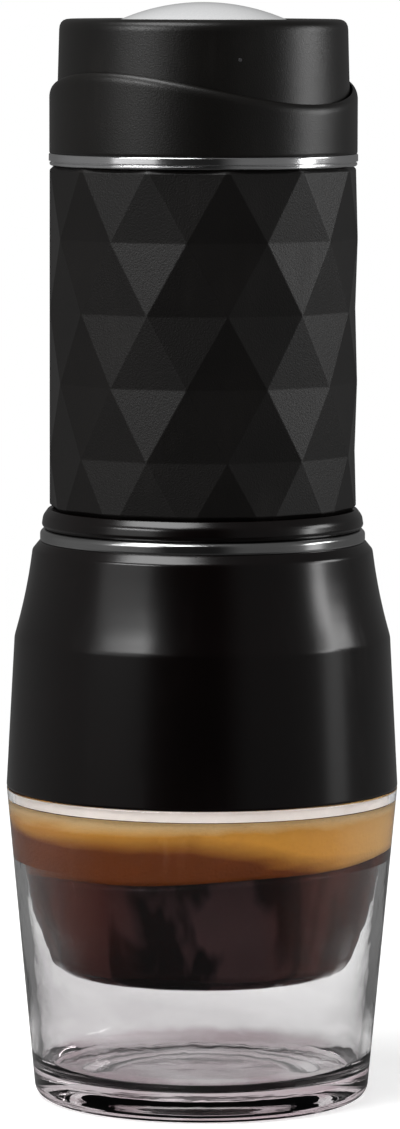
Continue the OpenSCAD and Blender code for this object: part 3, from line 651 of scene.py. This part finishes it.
@once
def foam(name, dark, gold, pale, floor, ceiling):
    """Crema: dark at its lower edge, golden in the middle and pale on top, with painted light that
    makes it golden sooner and paler towards the right, streaks that drift round the cup and fine
    bubbles."""
    made, tree, shader, place = blank(name)
    x, _, height = node(tree, "SeparateXYZ", {0: place}).outputs
    drift = noise(tree, place, 38.0, 4.0, (1.0, 1.0, 3.0), Distortion=0.8)
    wander = span(tree, drift, 0.3, 0.7, -0.09, 0.09)
    rise = span(tree, height, floor, ceiling)
    # Painted light: the crema turns golden sooner towards the right
    level = plus(tree, rise, span(tree, x, -0.002, 0.024, 0.0, 0.46), wander)
    lower = blend(tree, span(tree, level, 0.50, 0.84), rgba(dark), rgba(gold))
    upper = span(tree, plus(tree, rise, wander), 0.78, 0.92)
    # Painted light: paler at the right side
    edge = span(tree, x, 0.022, 0.034, 0.0, 0.7)
    whole = blend(tree, maths(tree, "MAXIMUM", upper, edge), lower, rgba(pale))
    bubbles = cells(tree, place, 1500.0)
    feed(tree, shader, {
        "Base Color": blend(tree, span(tree, bubbles, 0.0, 0.35, 0.18, 0.0), whole, rgba(dark)),
        "Roughness": 0.45,
        "Specular IOR Level": 0.15,
        "Normal": raised(tree, bubbles, 0.00012, 0.6),
    })
    return made


def finishes():
    """Every finish by its slot in the record."""
    c = bpy.context.scene.espresso_colours
    # moulded: roughness, grain per metre, depth of the grain, swell, spread of gloss, shine
    # metal: roughness, lines per metre, depth of the lines, spread of gloss
    return {
        "clear": clear_plastic("clear plastic", c.clear, c.smoke, c.mauve),
        "gloss_black": moulded("gloss black", c.gloss_black, 0.22, 900.0, 0.000004, 1.5),
        "satin_black": moulded("satin black", c.satin_black, 0.35, 3800.0, 0.00003, 0.3, 0.06),
        "grip_black": moulded("soft grip", c.grip_black, 0.42, 3200.0, 0.00004, 0.3, 0.06, 0.4),
        "inner_black": moulded("inner black", c.inner_black, 0.42, 2600.0, 0.00003, 0.6),
        "chrome_trim": metal("chrome trim", c.chrome, 0.14, 2500.0, 0.000002, 0.08),
        "steel": metal("steel", c.steel, 0.22, 5200.0, 0.000012, 0.16),
        "crown_silver": pearl("crown silver", c.crown),
        "seal_black": moulded("black seal", c.seal_black, 0.45, 2200.0, 0.00002, 0.8),
        "seal_red": moulded("red seal", c.seal_red, 0.42, 2200.0, 0.00002, 0.8),
        "pale_plastic": moulded("pale plastic", c.pale, 0.36, 2600.0, 0.00002, 0.6),
    }


# ------------------------------------------------------------------ pieces


def settings():
    """The size settings."""
    return bpy.context.scene.espresso_sizes


def piece(name, surface, body, slot, replaces=(), finish=None):
    """An object at the origin from points in millimetres and faces, riding on a body. It has the
    finish of its slot unless another is given."""
    points, faces = surface
    mesh = bpy.data.meshes.new(name)
    mesh.from_pydata((points * MM).tolist(), [], faces)
    mesh.polygons.foreach_set("use_smooth", np.full(len(mesh.polygons), True))
    mesh.materials.append(finish or finishes()[slot])
    made = bpy.data.objects.new(name, mesh)
    bpy.context.scene.collection.objects.link(made)
    if body:
        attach(made, body)
    if replaces:
        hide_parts(*replaces)
    return made


def turned_piece(name, corners, body, slot, replaces=(), ends=None, finish=None):
    """A turned piece from its corners (r, z, rounding). Without ends they are a closed section,
    such as a ring's; ends gives the axis heights where an open section starts and ends."""
    sides = settings().sides
    if ends is None:
        surface = skin(turned(eased(corners), sides))
    else:
        start, end = ((0, 0, z) for z in ends)
        whole = [(0, ends[0], 0.1), *corners, (0, ends[1], 0.1)]
        surface = skin(turned(eased(whole, False), sides), False, start, end)
    return piece(name, surface, body, slot, replaces, finish)


# ------------------------------------------------------------------ operators


class Build(bpy.types.Operator):
    """Common part of every operator."""

    bl_options = {"REGISTER", "UNDO"}


class ESPRESSO_OT_cup(Build):
    """The clear double-walled cup: its outer shell, the bowl that hangs in it and their joint"""

    bl_idname = "espresso.cup"
    bl_label = "Cup"

    def execute(self, context):
        r = reach("cup_shell")
        brim = SKIRT_Z - 0.02
        shelf = LEDGE_Z + 0.04
        hollow = 2.8  # height of the hollow under the foot
        edge = 2.6  # radius of the foot's outer edge
        edge_x = FOOT_R + edge * TAPER - edge * np.cos(np.arctan(TAPER))
        inner = FOOT_R + CUP_BASE * TAPER - CUP_WALL
        turned_piece(
            "cup_wall",
            [(FOOT_R - 14.6, hollow, 1.5), (FOOT_R - 11.5, 1.8, 1.5), (FOOT_R - 8.6, 0.0, 0.5),
             *each(arc((edge_x, edge), edge, -88, -6, 7), 0.2),
             (r - 0.02, SKIRT_Z - 0.2, 0.15), (r - 0.3, brim, 0.15), (r - 1.55, brim, 0.1),
             (r - 1.55, shelf, 0.1), (r - CUP_WALL - LEDGE_DROP * TAPER, shelf, 0.3),
             (inner + 2 * TAPER, CUP_BASE + 2, 2.0), (inner - 2, CUP_BASE, 2.0)],
            "cup", "clear", ["cup_shell"], (hollow, CUP_BASE - 0.6),
        )
        under = BOWL_FLOOR - BOWL_BASE
        tip = under - 2.6  # lowest point of the small cone under the bowl
        to_wall = 1.95  # from the cup's outside in to the bowl's, where the two walls touch
        joined = 45.0  # height from which they touch
        groove_foot, groove_top, groove_r = 59.62, 61.58, NECK_R - 1.08
        neck_top = top("cup_liner")
        turned_piece(
            "cup_bowl",
            [(1.2, tip, 0.5), (3.2, under, 1.2),
             *each(arc((BOWL_R - 9.8, under + 5), 5, -88, -12, 9), 0.3),
             (BOWL_R - 1.7, 35.5, 4), (FOOT_R + joined * TAPER - to_wall, joined, 2),
             (FOOT_R + LEDGE_Z * TAPER - to_wall, LEDGE_Z + 0.02, 0.1),
             (NECK_R, LEDGE_Z + 0.02, 0.1),
             (NECK_R, groove_foot, 0.2), (groove_r, groove_foot, 0.2),
             (groove_r, groove_top, 0.2), (NECK_R, groove_top, 0.2),
             (NECK_R, neck_top - 0.5, 0.3), (NECK_R - 0.5, neck_top, 0.3),
             (NECK_IN_R + 0.4, neck_top, 0.2), (NECK_IN_R, neck_top - 0.4, 0.3),
             (NECK_IN_R, LEDGE_Z, 1.5), (*HIP, 3.0),
             *each(arc(CORNER_AT, BOWL_CORNER, -9, -88, 7), 0.2)],
            "cup", "clear", ["cup_liner"], (tip, BOWL_FLOOR),
        )
        # The joint's pale tone is a painted highlight at the top of the cup
        inside, lip = NECK_R - 0.05, r - 1.6
        foot, roof = LEDGE_Z + 0.08, SKIRT_Z - 0.03
        turned_piece(
            "cup_joint", each([(inside, foot), (lip, foot), (lip, roof), (inside, roof)], 0.12),
            "cup", "clear", ["cup_liner"],
            finish=frosted("frosted joint", context.scene.espresso_colours.frost),
        )
        return {"FINISHED"}


class ESPRESSO_OT_coffee(Build):
    """The coffee and its crema, whose border wanders a little round the cup"""

    bl_idname = "espresso.coffee"
    bl_label = "Coffee and crema"

    def execute(self, context):
        s, c = settings(), context.scene.espresso_colours
        level, ceiling = s.coffee_level / MM, s.crema_level / MM
        # the bowl's inside wall: rounded corner, straight flank, straight lip. It is taken a hair
        # into the bowl, so that no air shows between the two.
        sunk = 0.03
        corner_r, corner_z = arc(CORNER_AT, BOWL_CORNER + sunk, -88, -9, 12).T
        wall_r = [*corner_r, HIP[0] + sunk, NECK_IN_R + sunk]
        wall_z = [*corner_z, HIP[1], LEDGE_Z]

        def out(z):
            """The wall's radius at a height."""
            return np.interp(z, wall_z, wall_r)

        a = round_axis(s.sides)
        share = np.linspace(0, 1, 14)[:, None]
        # the border rises towards the right, with two small waves round the cup
        border = 0.35 * np.sin(2 * a + 0.6) + 0.2 * np.sin(5 * a + 1.9) + 1.9 * np.cos(a)
        meet = 0.02  # from the coffee's top up to the crema
        shore = out(level + border) - 2  # where the two tops turn inwards

        # rows of the coffee: floor, corner, wall up to the border, and its level top
        floor, floor_r = BOWL_FLOOR - sunk, np.linspace(0.5, CORNER_AT[0], 6)[:-1]
        low_r = np.append(floor_r, corner_r)[:, None]
        low_z = np.append(np.full(len(floor_r), floor), corner_z)[:, None]
        up_z = corner_z[-1] + share[1:] * (level + border - corner_z[-1])
        rows_r = np.vstack([low_r + 0 * a, out(up_z), shore])
        rows_z = np.vstack([low_z + 0 * a, up_z, level + border])
        piece(
            "coffee", skin(carried(rows_r, a, rows_z), False, (0, 0, floor), (0, 0, level)),
            "cup", None,
            finish=brewed("coffee", c.coffee_deep, c.coffee_painted_reflection, c.coffee_painted_light, level * MM),
        )

        # rows of the crema: its wall from the border up, a soft rim, and a gently swelling top
        up_z = level + border + meet + share * (ceiling - 0.15 - level - border)
        inward = np.array([0.25, 0.9, 3.0, 9.0, 18.0, 26.0])[:, None]
        sag = np.array([0.04, 0.2, 0.8, 1.7, 2.0, 2.0])[:, None]
        swell = np.linspace(0.3, 1, len(sag))[:, None]
        ripple = 0.12 * np.sin(3 * a + 0.4) + 0.07 * np.sin(7 * a)
        rows_r = np.vstack([shore, out(up_z), out(ceiling) - inward + 0 * a])
        rows_z = np.vstack([level + border + meet, up_z, ceiling - sag + ripple * swell])
        hubs = (0, 0, level + meet), (0, 0, ceiling - sag[-1, 0])
        piece(
            "crema", skin(carried(rows_r, a, rows_z), False, *hubs), "cup", None,
            finish=foam("crema", c.crema_dark, c.crema_gold, c.crema_pale,
                        (level - 0.6) * MM, ceiling * MM),
        )
        return {"FINISHED"}


class ESPRESSO_OT_skirt(Build):
    """The waisted brew skirt, with its crease, hollow upper flank and sloped shoulder"""

    bl_idname = "espresso.skirt"
    bl_label = "Skirt"

    def execute(self, context):
        wide, ring = reach("skirt_shell"), reach("trim_ring_lower")
        waist, waist_z = wide - 1.5, SKIRT_Z + 27.7
        shoulder, shoulder_z = ring + 1.4, DECK_Z - 1.6
        socket, hole, under = wide - SKIRT_WALL, reach("filter_holder") - 1.2, DECK_Z - 2.6
        hollow = 0.35  # depth of the upper flank's hollow
        flank = [
            (waist + (shoulder - waist) * k - 4 * hollow * k * (1 - k),
             waist_z + (shoulder_z - waist_z) * k) for k in (0.25, 0.5, 0.75)
        ]
        turned_piece(
            "skirt",
            [(socket, SKIRT_Z, 0.15), (wide, SKIRT_Z, 0.45),
             (waist, waist_z, settings().crease / MM), *each(flank, 9),
             (shoulder, shoulder_z, 0.35), (ring + 0.1, DECK_Z, 0.3), (hole, DECK_Z, 0.2),
             (hole, under, 0.2), (shoulder - 2.7, under, 0.5),
             (shoulder - SKIRT_WALL, DECK_Z - 4.1, 1), (waist - SKIRT_WALL, waist_z, 1),
             (socket - 0.9, 65.5, 0.5), (socket, 64.6, 0.3)],
            "brew", "gloss_black", ["skirt_shell"],
        )
        return {"FINISHED"}


class ESPRESSO_OT_rings(Build):
    """The two chrome rings and the flange under the sleeve"""

    bl_idname = "espresso.rings"
    bl_label = "Rings"

    def execute(self, context):
        # Painted shade: the ring on the skirt takes a darker copy of the chrome
        painted_shade_tone = context.scene.espresso_colours.smoked_chrome
        r, bore = reach("trim_ring_lower"), reach("filter_holder") + 0.1
        turned_piece(
            "lower_ring",
            [(bore, DECK_Z, 0.1), (r - 0.1, DECK_Z, 0.1), (r, DECK_Z + 0.3, 0.2),
             (r, TANK_Z - 0.6, 0.3), (r - 0.6, TANK_Z, 0.3), (bore, TANK_Z, 0.1)],
            "brew", "chrome_trim", ["trim_ring_lower"],
            finish=metal("smoked chrome", painted_shade_tone, 0.15, 2500.0, 0.000002),
        )
        r, bore = reach("trim_ring_upper"), reach("water_tank") + 0.1
        groove = RING_Z + 0.6
        turned_piece(
            "upper_ring",
            [(bore, RING_Z, 0.1), (r - 0.4, RING_Z, 0.1), (r - 0.15, RING_Z + 0.2, 0.12),
             (r - 0.15, groove, 0.08), (r - 0.5, groove, 0.08), (r - 0.5, groove + 0.25, 0.08),
             (r, groove + 0.25, 0.12), (r, LID_Z - 0.2, 0.12), (r - 0.2, LID_Z, 0.1),
             (bore, LID_Z, 0.1)],
            "tank", "chrome_trim", ["trim_ring_upper"],
        )
        r, edge = reach("tank_foot_ring"), settings().edge / MM
        turned_piece(
            "foot_ring",
            [(bore - 1.5, TANK_Z, 0.2), (r - 0.6, TANK_Z, edge), (r, TANK_Z + 0.8, edge),
             (r - 0.25, SLEEVE_Z - 1.3, 0.5), (r - 1.2, SLEEVE_Z, 0.2), (bore, SLEEVE_Z, 0.2),
             (bore, TANK_Z + 1, 0.1), (bore - 1.5, TANK_Z + 1, 0.1)],
            "tank", "gloss_black", ["tank_foot_ring"],
        )
        return {"FINISHED"}


class ESPRESSO_OT_sleeve(Build):
    """The grip sleeve: rings of corner points, each turned half a step against the ring below,
    joined by flat triangles"""

    bl_idname = "espresso.sleeve"
    bl_label = "Grip sleeve"

    def execute(self, context):
        s = settings()
        n, rows = s.facets, s.facet_rows
        edge = 0.7  # width and height of the slope at the two ends
        bottom = SLEEVE_Z - SLEEVE_DROP
        pitch = (RING_Z - bottom) / rows
        row, k = np.arange(rows + 1)[:, None], np.arange(n)
        corners = carried(
            SLEEVE_R, s.facet_turn + (k - (row % 2) / 2) * TURN / n, bottom + pitch * row
        )

        def crossings(j, share):
            """Points on row j's sloping edges at a share of its height, two per lower corner:
            lower corner k joins the upper corners k and k + 1 where j is even, and k - 1 and k
            where it is odd."""
            first = -(j % 2)
            upper = [np.roll(corners[j + 1], shift, 0) for shift in (-first, -first - 1)]
            lower = corners[j][:, None]
            return (lower * (1 - share) + np.stack(upper, 1) * share).reshape(-1, 3)

        # Rings of 2n points, upwards: foot, first cut, last cut, roof. The corner rings of n
        # points lie between the two cuts. Two more rings of 2n make the bore.
        shrink = np.array([(SLEEVE_R - edge) / SLEEVE_R, (SLEEVE_R - edge) / SLEEVE_R, 1])
        first_cut = crossings(0, (SLEEVE_Z + edge - bottom) / pitch)
        last_cut = crossings(rows - 1, 1 - edge / pitch)
        foot = crossings(0, (SLEEVE_Z - bottom) / pitch) * shrink
        roof = last_cut * shrink
        roof[:, 2] = RING_Z
        bore = [
            carried(reach("water_tank") + 0.1, np.arctan2(*ring[0, 1::-1]) + round_axis(2 * n), z)
            for ring, z in ((roof, RING_Z), (foot, SLEEVE_Z))
        ]
        points = np.vstack(
            [foot, first_cut, corners[1:rows].reshape(-1, 3), last_cut, roof, *bore]
        )
        count = (rows - 1) * n
        foot, first_cut = np.arange(4 * n).reshape(2, -1)
        between = 4 * n + np.arange(count).reshape(rows - 1, n)
        last_cut, roof, bore_roof, bore_foot = 4 * n + count + np.arange(8 * n).reshape(4, -1)

        left, right = first_cut.reshape(n, 2).T
        up, next_up = between[0], np.roll(between[0], -1)
        groups = [banded(foot, first_cut), np.stack([left, right, next_up, up], -1),
                  np.stack([right, np.roll(left, -1), next_up], -1)]
        for j, (here, above) in enumerate(zip(between, between[1:]), 1):
            up = np.roll(above, j % 2)
            next_up = np.roll(up, -1)
            groups += [np.stack([here, next_up, up], -1),
                       np.stack([here, np.roll(here, -1), next_up], -1)]
        here, (left, right) = between[-1], last_cut.reshape(n, 2).T
        groups += [np.stack([here, right, left], -1),
                   np.stack([here, np.roll(here, -1), np.roll(left, -1), right], -1),
                   banded(last_cut, roof), banded(roof, bore_roof), banded(bore_foot, foot),
                   banded(bore_roof, bore_foot)]
        faces = [face for group in groups for face in group.tolist()]
        sleeve = piece("sleeve", (points, faces), "tank", "grip_black", ["grip_sleeve"])
        bevel = sleeve.modifiers.new("softened edges", "BEVEL")
        bevel.width = s.facet_edge
        bevel.segments = 2
        bevel.limit_method = "ANGLE"
        bevel.angle_limit = np.radians(3)
        bevel.harden_normals = True
        return {"FINISHED"}


class ESPRESSO_OT_collar(Build):
    """The collar: one section carried round the axis, whose top follows a wave"""

    bl_idname = "espresso.collar"
    bl_label = "Collar"

    def execute(self, context):
        s = settings()
        r, wall, lip = reach("lid_collar"), 1.0, 1.8
        inside = r - wall
        # rows of the section, outer wall upwards: radius, height above the foot, share of wave
        b = np.radians(np.linspace(90, 8, 9))
        lip_rows = np.stack([inside + wall * np.sin(b), -lip * (1 - np.cos(b)), 1 + 0 * b], -1)
        rows = np.vstack([
            [(inside + 0.1, 0, 0), (r - 0.25, 0, 0), (r - 0.08, 0.08, 0), (r, 0.25, 0),
             (r, 0.6, 0), (r, -lip - 0.5, 1)],
            lip_rows,
            [(inside + 0.04, -0.03, 1), (inside, -0.15, 1), (inside, -0.5, 1),
             (inside, 0.5, 0), (inside, 0.1, 0)],
        ])
        a = round_axis(s.sides)
        wave = s.wave_height / MM + s.wave_rise / MM * np.cos(2 * (a - s.wave_turn))
        out, rise, share = rows.T[..., None]
        surface = skin(carried(out, a, LID_Z + rise + share * wave))
        piece("collar", surface, "lid", "satin_black", ["lid_collar"])
        return {"FINISHED"}


class ESPRESSO_OT_head(Build):
    """The pump head: cap, stem and boss, its two lock lugs, and a small paler pip"""

    bl_idname = "espresso.head"
    bl_label = "Pump head"

    def execute(self, context):
        r, stem_foot = reach("pump_head"), low("pump_head")
        foot, ceiling, side = LID_Z + 2.95, HEAD_TOP_Z - 4.4, r - 0.6
        crown, seat = reach("crown_disc") + 0.2, low("crown_disc")
        stem_in, boss, boss_foot = STEM_R - 2.2, 5, ceiling - 10
        socket, socket_top = 3.05, seat - 1.7  # for the rod
        screw, screw_hole = 3.2, 1.6
        turned_piece(
            "head",
            [(socket, boss_foot, 0.2), (boss, boss_foot, 0.4), (boss, ceiling, 0.4),
             (stem_in, ceiling, 0.5), (stem_in, stem_foot, 0.3), (STEM_R, stem_foot, 0.4),
             (STEM_R, ceiling, 0.5), (r - 2.6, ceiling, 0.5), (r - 1.9, ceiling - 1.5, 0.5),
             (r - HEAD_WALL, foot, 0.2), (r, foot, 0.3), (side, HEAD_TOP_Z, 1.9),
             (crown, HEAD_TOP_Z, 0.35), (crown, seat, 0.1), (screw, seat, 0.1),
             (screw, seat - 1, 0.1), (screw_hole, seat - 1, 0.1),
             (screw_hole, socket_top, 0.1), (socket, socket_top, 0.1)],
            "head", "satin_black", ["pump_head"],
        )
        # two lugs on the stem, each a section carried 14 degrees to both sides
        root, tip, lug_top = STEM_R - 0.4, 16.8, LID_Z - 0.4
        lug_foot, half_turn = lug_top - 3.3, 14
        section = eased(
            each([(root, lug_foot), (root, lug_top), (tip, lug_top), (tip, lug_foot)], 0.35)
        )
        for name, middle in (("lug_right", 0.0), ("lug_left", 180.0)):
            a = np.radians(middle + np.linspace(-half_turn, half_turn, 17))[:, None]
            piece(name, capped(carried(section[:, 0], a, section[:, 1])), "head", "satin_black")
        # a paler pip of 0.7 mm across, pressed out of the head's side
        height, turn, radius = 191.0, np.radians(-75.8), 0.36
        face = r + (side - r) * (height - foot) / (HEAD_TOP_Z - foot) - 0.03
        away = np.array([np.cos(turn), np.sin(turn), 0])
        aside, upwards = np.array([-away[1], away[0], 0]), np.array([0, 0, 1.0])
        middle = face * away + height * upwards
        b = round_axis(16)[:, None]
        ring = radius * (np.cos(b) * aside + np.sin(b) * upwards)
        grid = np.array([
            middle + out * away + share * ring for out, share in ((0, 1), (0.04, 0.85), (0.07, 0.5))
        ])
        surface = skin(grid, False, middle - 0.05 * away, middle + 0.08 * away)
        piece("pale_pip", surface, "head", "inner_black")
        return {"FINISHED"}


class ESPRESSO_OT_crown(Build):
    """The pale domed disc in the head: a ball's cap on a short rim"""

    bl_idname = "espresso.crown"
    bl_label = "Crown disc"

    def execute(self, context):
        r, seat, ball = reach("crown_disc"), low("crown_disc"), 38.0
        middle = PEAK_Z - ball
        rim = np.arcsin(r / ball)
        edge_z = middle + ball * np.cos(rim)
        profile = np.vstack([
            [(r - 4, seat), (r - 0.3, seat), (r - 0.08, seat + 0.07), (r, seat + 0.2),
             (r, edge_z - 0.15), (r - 0.05, edge_z - 0.02), (r - 0.15, edge_z + 0.06)],
            arc((0, middle), ball, 90 - np.degrees(rim) + 0.6, 89.2, 24),
        ])
        surface = skin(turned(profile, settings().sides), False, (0, 0, seat), (0, 0, PEAK_Z))
        piece("crown", surface, "head", "crown_silver", ["crown_disc"])
        return {"FINISHED"}


class ESPRESSO_OT_springs(Build):
    """The return spring and the poppet's spring"""

    bl_idname = "espresso.springs"
    bl_label = "Springs"

    def execute(self, context):
        for name, node_name, turns, wire, steps, sides, a, b in (
            ("head_spring", "return_spring", 8, 0.8, 40, 12, "twist", "head"),
            ("valve_spring", "poppet_spring", 5, 0.3, 28, 8, "lid", "outlet_poppet"),
        ):
            foot, roof = low(node_name), top(node_name)
            heights = wire_heights(foot, roof - foot, turns, wire, steps)
            grid = coil(reach(node_name) - wire, wire, heights, steps, sides)
            made = piece(name, capped(grid), None, "steel", [node_name])
            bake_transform(made)
        return {"FINISHED"}


class ESPRESSO_OT_threads(Build):
    """Threads on the tank's neck and on the lid's plug: a low ridge carried up a helix"""

    bl_idname = "espresso.threads"
    bl_label = "Threads"

    def execute(self, context):
        tank, steps, fade_turns = reach("water_tank"), 96, 0.12
        for name, r, foot, rise, turns, body in (
            ("neck_thread", tank - 1.5, low("water_tank") + 1.2, 2.1, 2.2, "tank"),
            ("plug_thread", tank - 2 - 0.25, LID_Z - 6.0, 2.0, 2.0, "lid"),
        ):
            t = np.arange(int(turns * steps) + 1)[:, None] / steps
            fade = np.clip(np.minimum(t, turns - t) / fade_turns, 0.02, 1)
            out = r - 0.1 + np.array([0.0, 0.0, 0.27, 0.27]) * fade
            side = np.array([-0.55, 0.55, 0.22, -0.22]) * fade
            piece(name, capped(carried(out, t * TURN, foot + t * rise + side)), body, "inner_black")
        return {"FINISHED"}


class ESPRESSO_OT_inside(Build):
    """Finishes for the nodes that are shown as they come"""

    bl_idname = "espresso.inside"
    bl_label = "Inside parts"

    def execute(self, context):
        found = finishes()
        slots = {row["node"]: row["material_slot"] for row in frame["record"]["subparts"]}
        for name, shown in frame["nodes"].items():
            shown.data.materials.clear()
            shown.data.materials.append(found[slots[name]])
        return {"FINISHED"}


class ESPRESSO_OT_studio(Build):
    """A pale floor, a pale room, six soft lights and the camera"""

    bl_idname = "espresso.studio"
    bl_label = "Studio"

    def soft_light(self, name, place, aim, size, brightness):
        """A rectangular light of that brightness, turned towards a point."""
        lamp = bpy.data.lights.new(name, "AREA")
        lamp.shape = "RECTANGLE"
        lamp.size, lamp.size_y = size
        lamp.energy = brightness * np.pi * size[0] * size[1]
        made = bpy.data.objects.new(name, lamp)
        bpy.context.scene.collection.objects.link(made)
        made.location = place
        way = Vector(aim) - Vector(place)
        made.rotation_euler = way.to_track_quat("-Z", "Y").to_euler()

    def floor(self):
        """A round floor. The eye finds it white apart from the object's shadow. A gloss finds it
        dark in front of the object and dim elsewhere, but bright close behind it where it is
        looked at through a clear wall. From below it isn't there."""
        made, tree, shader, place = blank("floor")
        leave = shader.outputs[0].links[0].to_node
        tree.nodes.remove(shader)
        tone = blend(tree, noise(tree, place, 30.0, 2.0), grey(0.80), grey(0.84))
        matt = node(tree, "BsdfDiffuse", {"Color": tone})
        light = node(tree, "Emission", {"Color": grey(1.0), "Strength": 0.48})
        lit = node(tree, "AddShader", {0: matt.outputs[0], 1: light.outputs[0]})
        x, y, _ = node(tree, "SeparateXYZ", {0: place}).outputs
        away = round_front(tree, x, y)
        dark = blend(tree, span(tree, away, 0.9, 1.6), grey(0.04), grey(0.20))
        dim = node(tree, "BsdfDiffuse", {"Color": dark})
        reached = node(tree, "VectorMath", {0: place}, operation="LENGTH").outputs["Value"]
        close = span(tree, reached, 0.07, 0.10, 1.0, 0.0)
        seen, gloss, inside, walled = paths(tree)
        behind = times(tree, walled, times(tree, close, span(tree, away, 1.9, 2.4)))
        bright = maths(tree, "MAXIMUM", seen, inside, behind)
        above = mixed(tree, bright, matt, lit)
        above = mixed(tree, maths(tree, "SUBTRACT", gloss, behind), above, dim)
        below = node(tree, "NewGeometry").outputs["Backfacing"]
        whole = mixed(tree, below, above, node(tree, "BsdfTransparent"))
        feed(tree, leave, {"Surface": whole.outputs[0]})
        level, sides = -0.02, 96
        rows = turned([(500, level), (300, level), (150, level)], sides)
        surface = skin(rows, False, None, (0, 0, level))
        piece("floor", surface, None, None, finish=made)

    def room(self, ambient):
        """White to the eye and through clear pieces. A gloss finds it dark in front of the
        object, a little to the left, and dim elsewhere; one that crossed a clear wall finds it
        bright behind the object."""
        world = bpy.data.worlds.new("room")
        bpy.context.scene.world = world
        world.use_nodes = True
        tree = world.node_tree
        tree.nodes.clear()
        way = node(tree, "TexCoord").outputs["Generated"]
        x, y, _ = node(tree, "SeparateXYZ", {0: way}).outputs
        away = round_front(tree, x, y)
        left = span(tree, x, -0.95, -0.6, 0.06, 0.0)
        within = 3.3  # brightness where the room lights what is behind a clear wall
        around = plus(tree, span(tree, away, 0.33, 0.60, 0.008, 0.13), left)
        seen, gloss, inside, walled = paths(tree)
        rest = without(tree, plus(tree, gloss, seen, inside))
        level = plus(
            tree, times(tree, gloss, around),
            times(tree, walled, span(tree, away, 1.9, 2.4, 0.02, 0.75)),
            times(tree, inside, within), times(tree, rest, ambient), seen,
        )
        sky = node(tree, "Background", {"Color": grey(1.0), "Strength": level})
        node(tree, "OutputWorld", {"Surface": sky.outputs[0]})

    def camera(self, lens, distance):
        """The camera, level with the object's top and tilted down. Angles are in degrees."""
        aside, height, down, turn = -0.00046, 0.2055, 5.7016, 0.13
        made = bpy.data.cameras.new("camera")
        made.lens = lens
        made.sensor_width = 36
        made.clip_start, made.clip_end = 0.05, 20
        camera = bpy.data.objects.new("camera", made)
        bpy.context.scene.collection.objects.link(camera)
        tilt = Matrix.Rotation(np.radians(90 - down), 4, "X")
        roll = Matrix.Rotation(np.radians(turn), 4, "Z")
        camera.matrix_world = Matrix.Translation((aside, -distance, height)) @ tilt @ roll
        bpy.context.scene.camera = camera

    def execute(self, context):
        s = context.scene.espresso_studio
        self.floor()
        self.room(s.ambient)
        middle = (0, 0, 0.10)  # of the object, nearly
        for name, place, aim, size, brightness in (
            ("high left", (-0.60, -0.51, 0.475), middle, (0.46, 0.13), s.high_glow),
            ("low left", (-0.64, -0.50, 0.235), (0, 0, 0.235), (0.52, 0.21), s.low_glow),
            ("low right", (0.517, -0.080, 0.175), (0, 0, 0.175), (0.09, 0.08), s.right_glow),
            ("side right", (0.50, -0.05, 0.07), (0, 0, 0.07), (0.13, 0.12), s.side_glow),
            ("high right", (0.515, 0.03, 0.27), middle, (0.19, 0.17), s.rear_glow),
            ("top light", (-0.41, -0.34, 1.15), middle, (0.80, 0.50), s.top_glow),
        ):
            self.soft_light(name, place, aim, size, brightness)
        self.camera(s.lens, s.distance)
        context.scene.view_settings.view_transform = "Standard"
        return {"FINISHED"}


class ESPRESSO_PT_panel(bpy.types.Panel):
    """Lists the pieces' operators and settings"""

    bl_label = "Espresso maker"
    bl_idname = "ESPRESSO_PT_panel"
    bl_space_type = "VIEW_3D"
    bl_region_type = "UI"
    bl_category = "Espresso"

    def draw(self, context):
        for operator in OPERATORS:
            self.layout.operator(operator.bl_idname)
        for group in GROUPS:
            settings_of = getattr(context.scene, group)
            for name in settings_of.bl_rna.properties.keys():
                if name not in ("rna_type", "name"):
                    self.layout.prop(settings_of, name)


OPERATORS = (
    ESPRESSO_OT_inside,
    ESPRESSO_OT_cup,
    ESPRESSO_OT_coffee,
    ESPRESSO_OT_skirt,
    ESPRESSO_OT_rings,
    ESPRESSO_OT_sleeve,
    ESPRESSO_OT_collar,
    ESPRESSO_OT_head,
    ESPRESSO_OT_crown,
    ESPRESSO_OT_springs,
    ESPRESSO_OT_threads,
    ESPRESSO_OT_studio,
)
GROUPS = {
    "espresso_sizes": EspressoSizes,
    "espresso_colours": EspressoColours,
    "espresso_studio": EspressoStudio,
}
CLASSES = (*GROUPS.values(), *OPERATORS, ESPRESSO_PT_panel)


def register():
    """Makes the settings, operators and panel known."""
    for made in CLASSES:
        bpy.utils.register_class(made)
    for name, group in GROUPS.items():
        setattr(bpy.types.Scene, name, PointerProperty(type=group))


def unregister():
    """Takes them out again."""
    for name in GROUPS:
        delattr(bpy.types.Scene, name)
    for made in reversed(CLASSES):
        bpy.utils.unregister_class(made)


def main():
    """Builds every piece and the studio."""
    register()
    for operator in OPERATORS:
        family, name = operator.bl_idname.split(".")
        getattr(getattr(bpy.ops, family), name)()


if __name__ == "__main__":
    main()
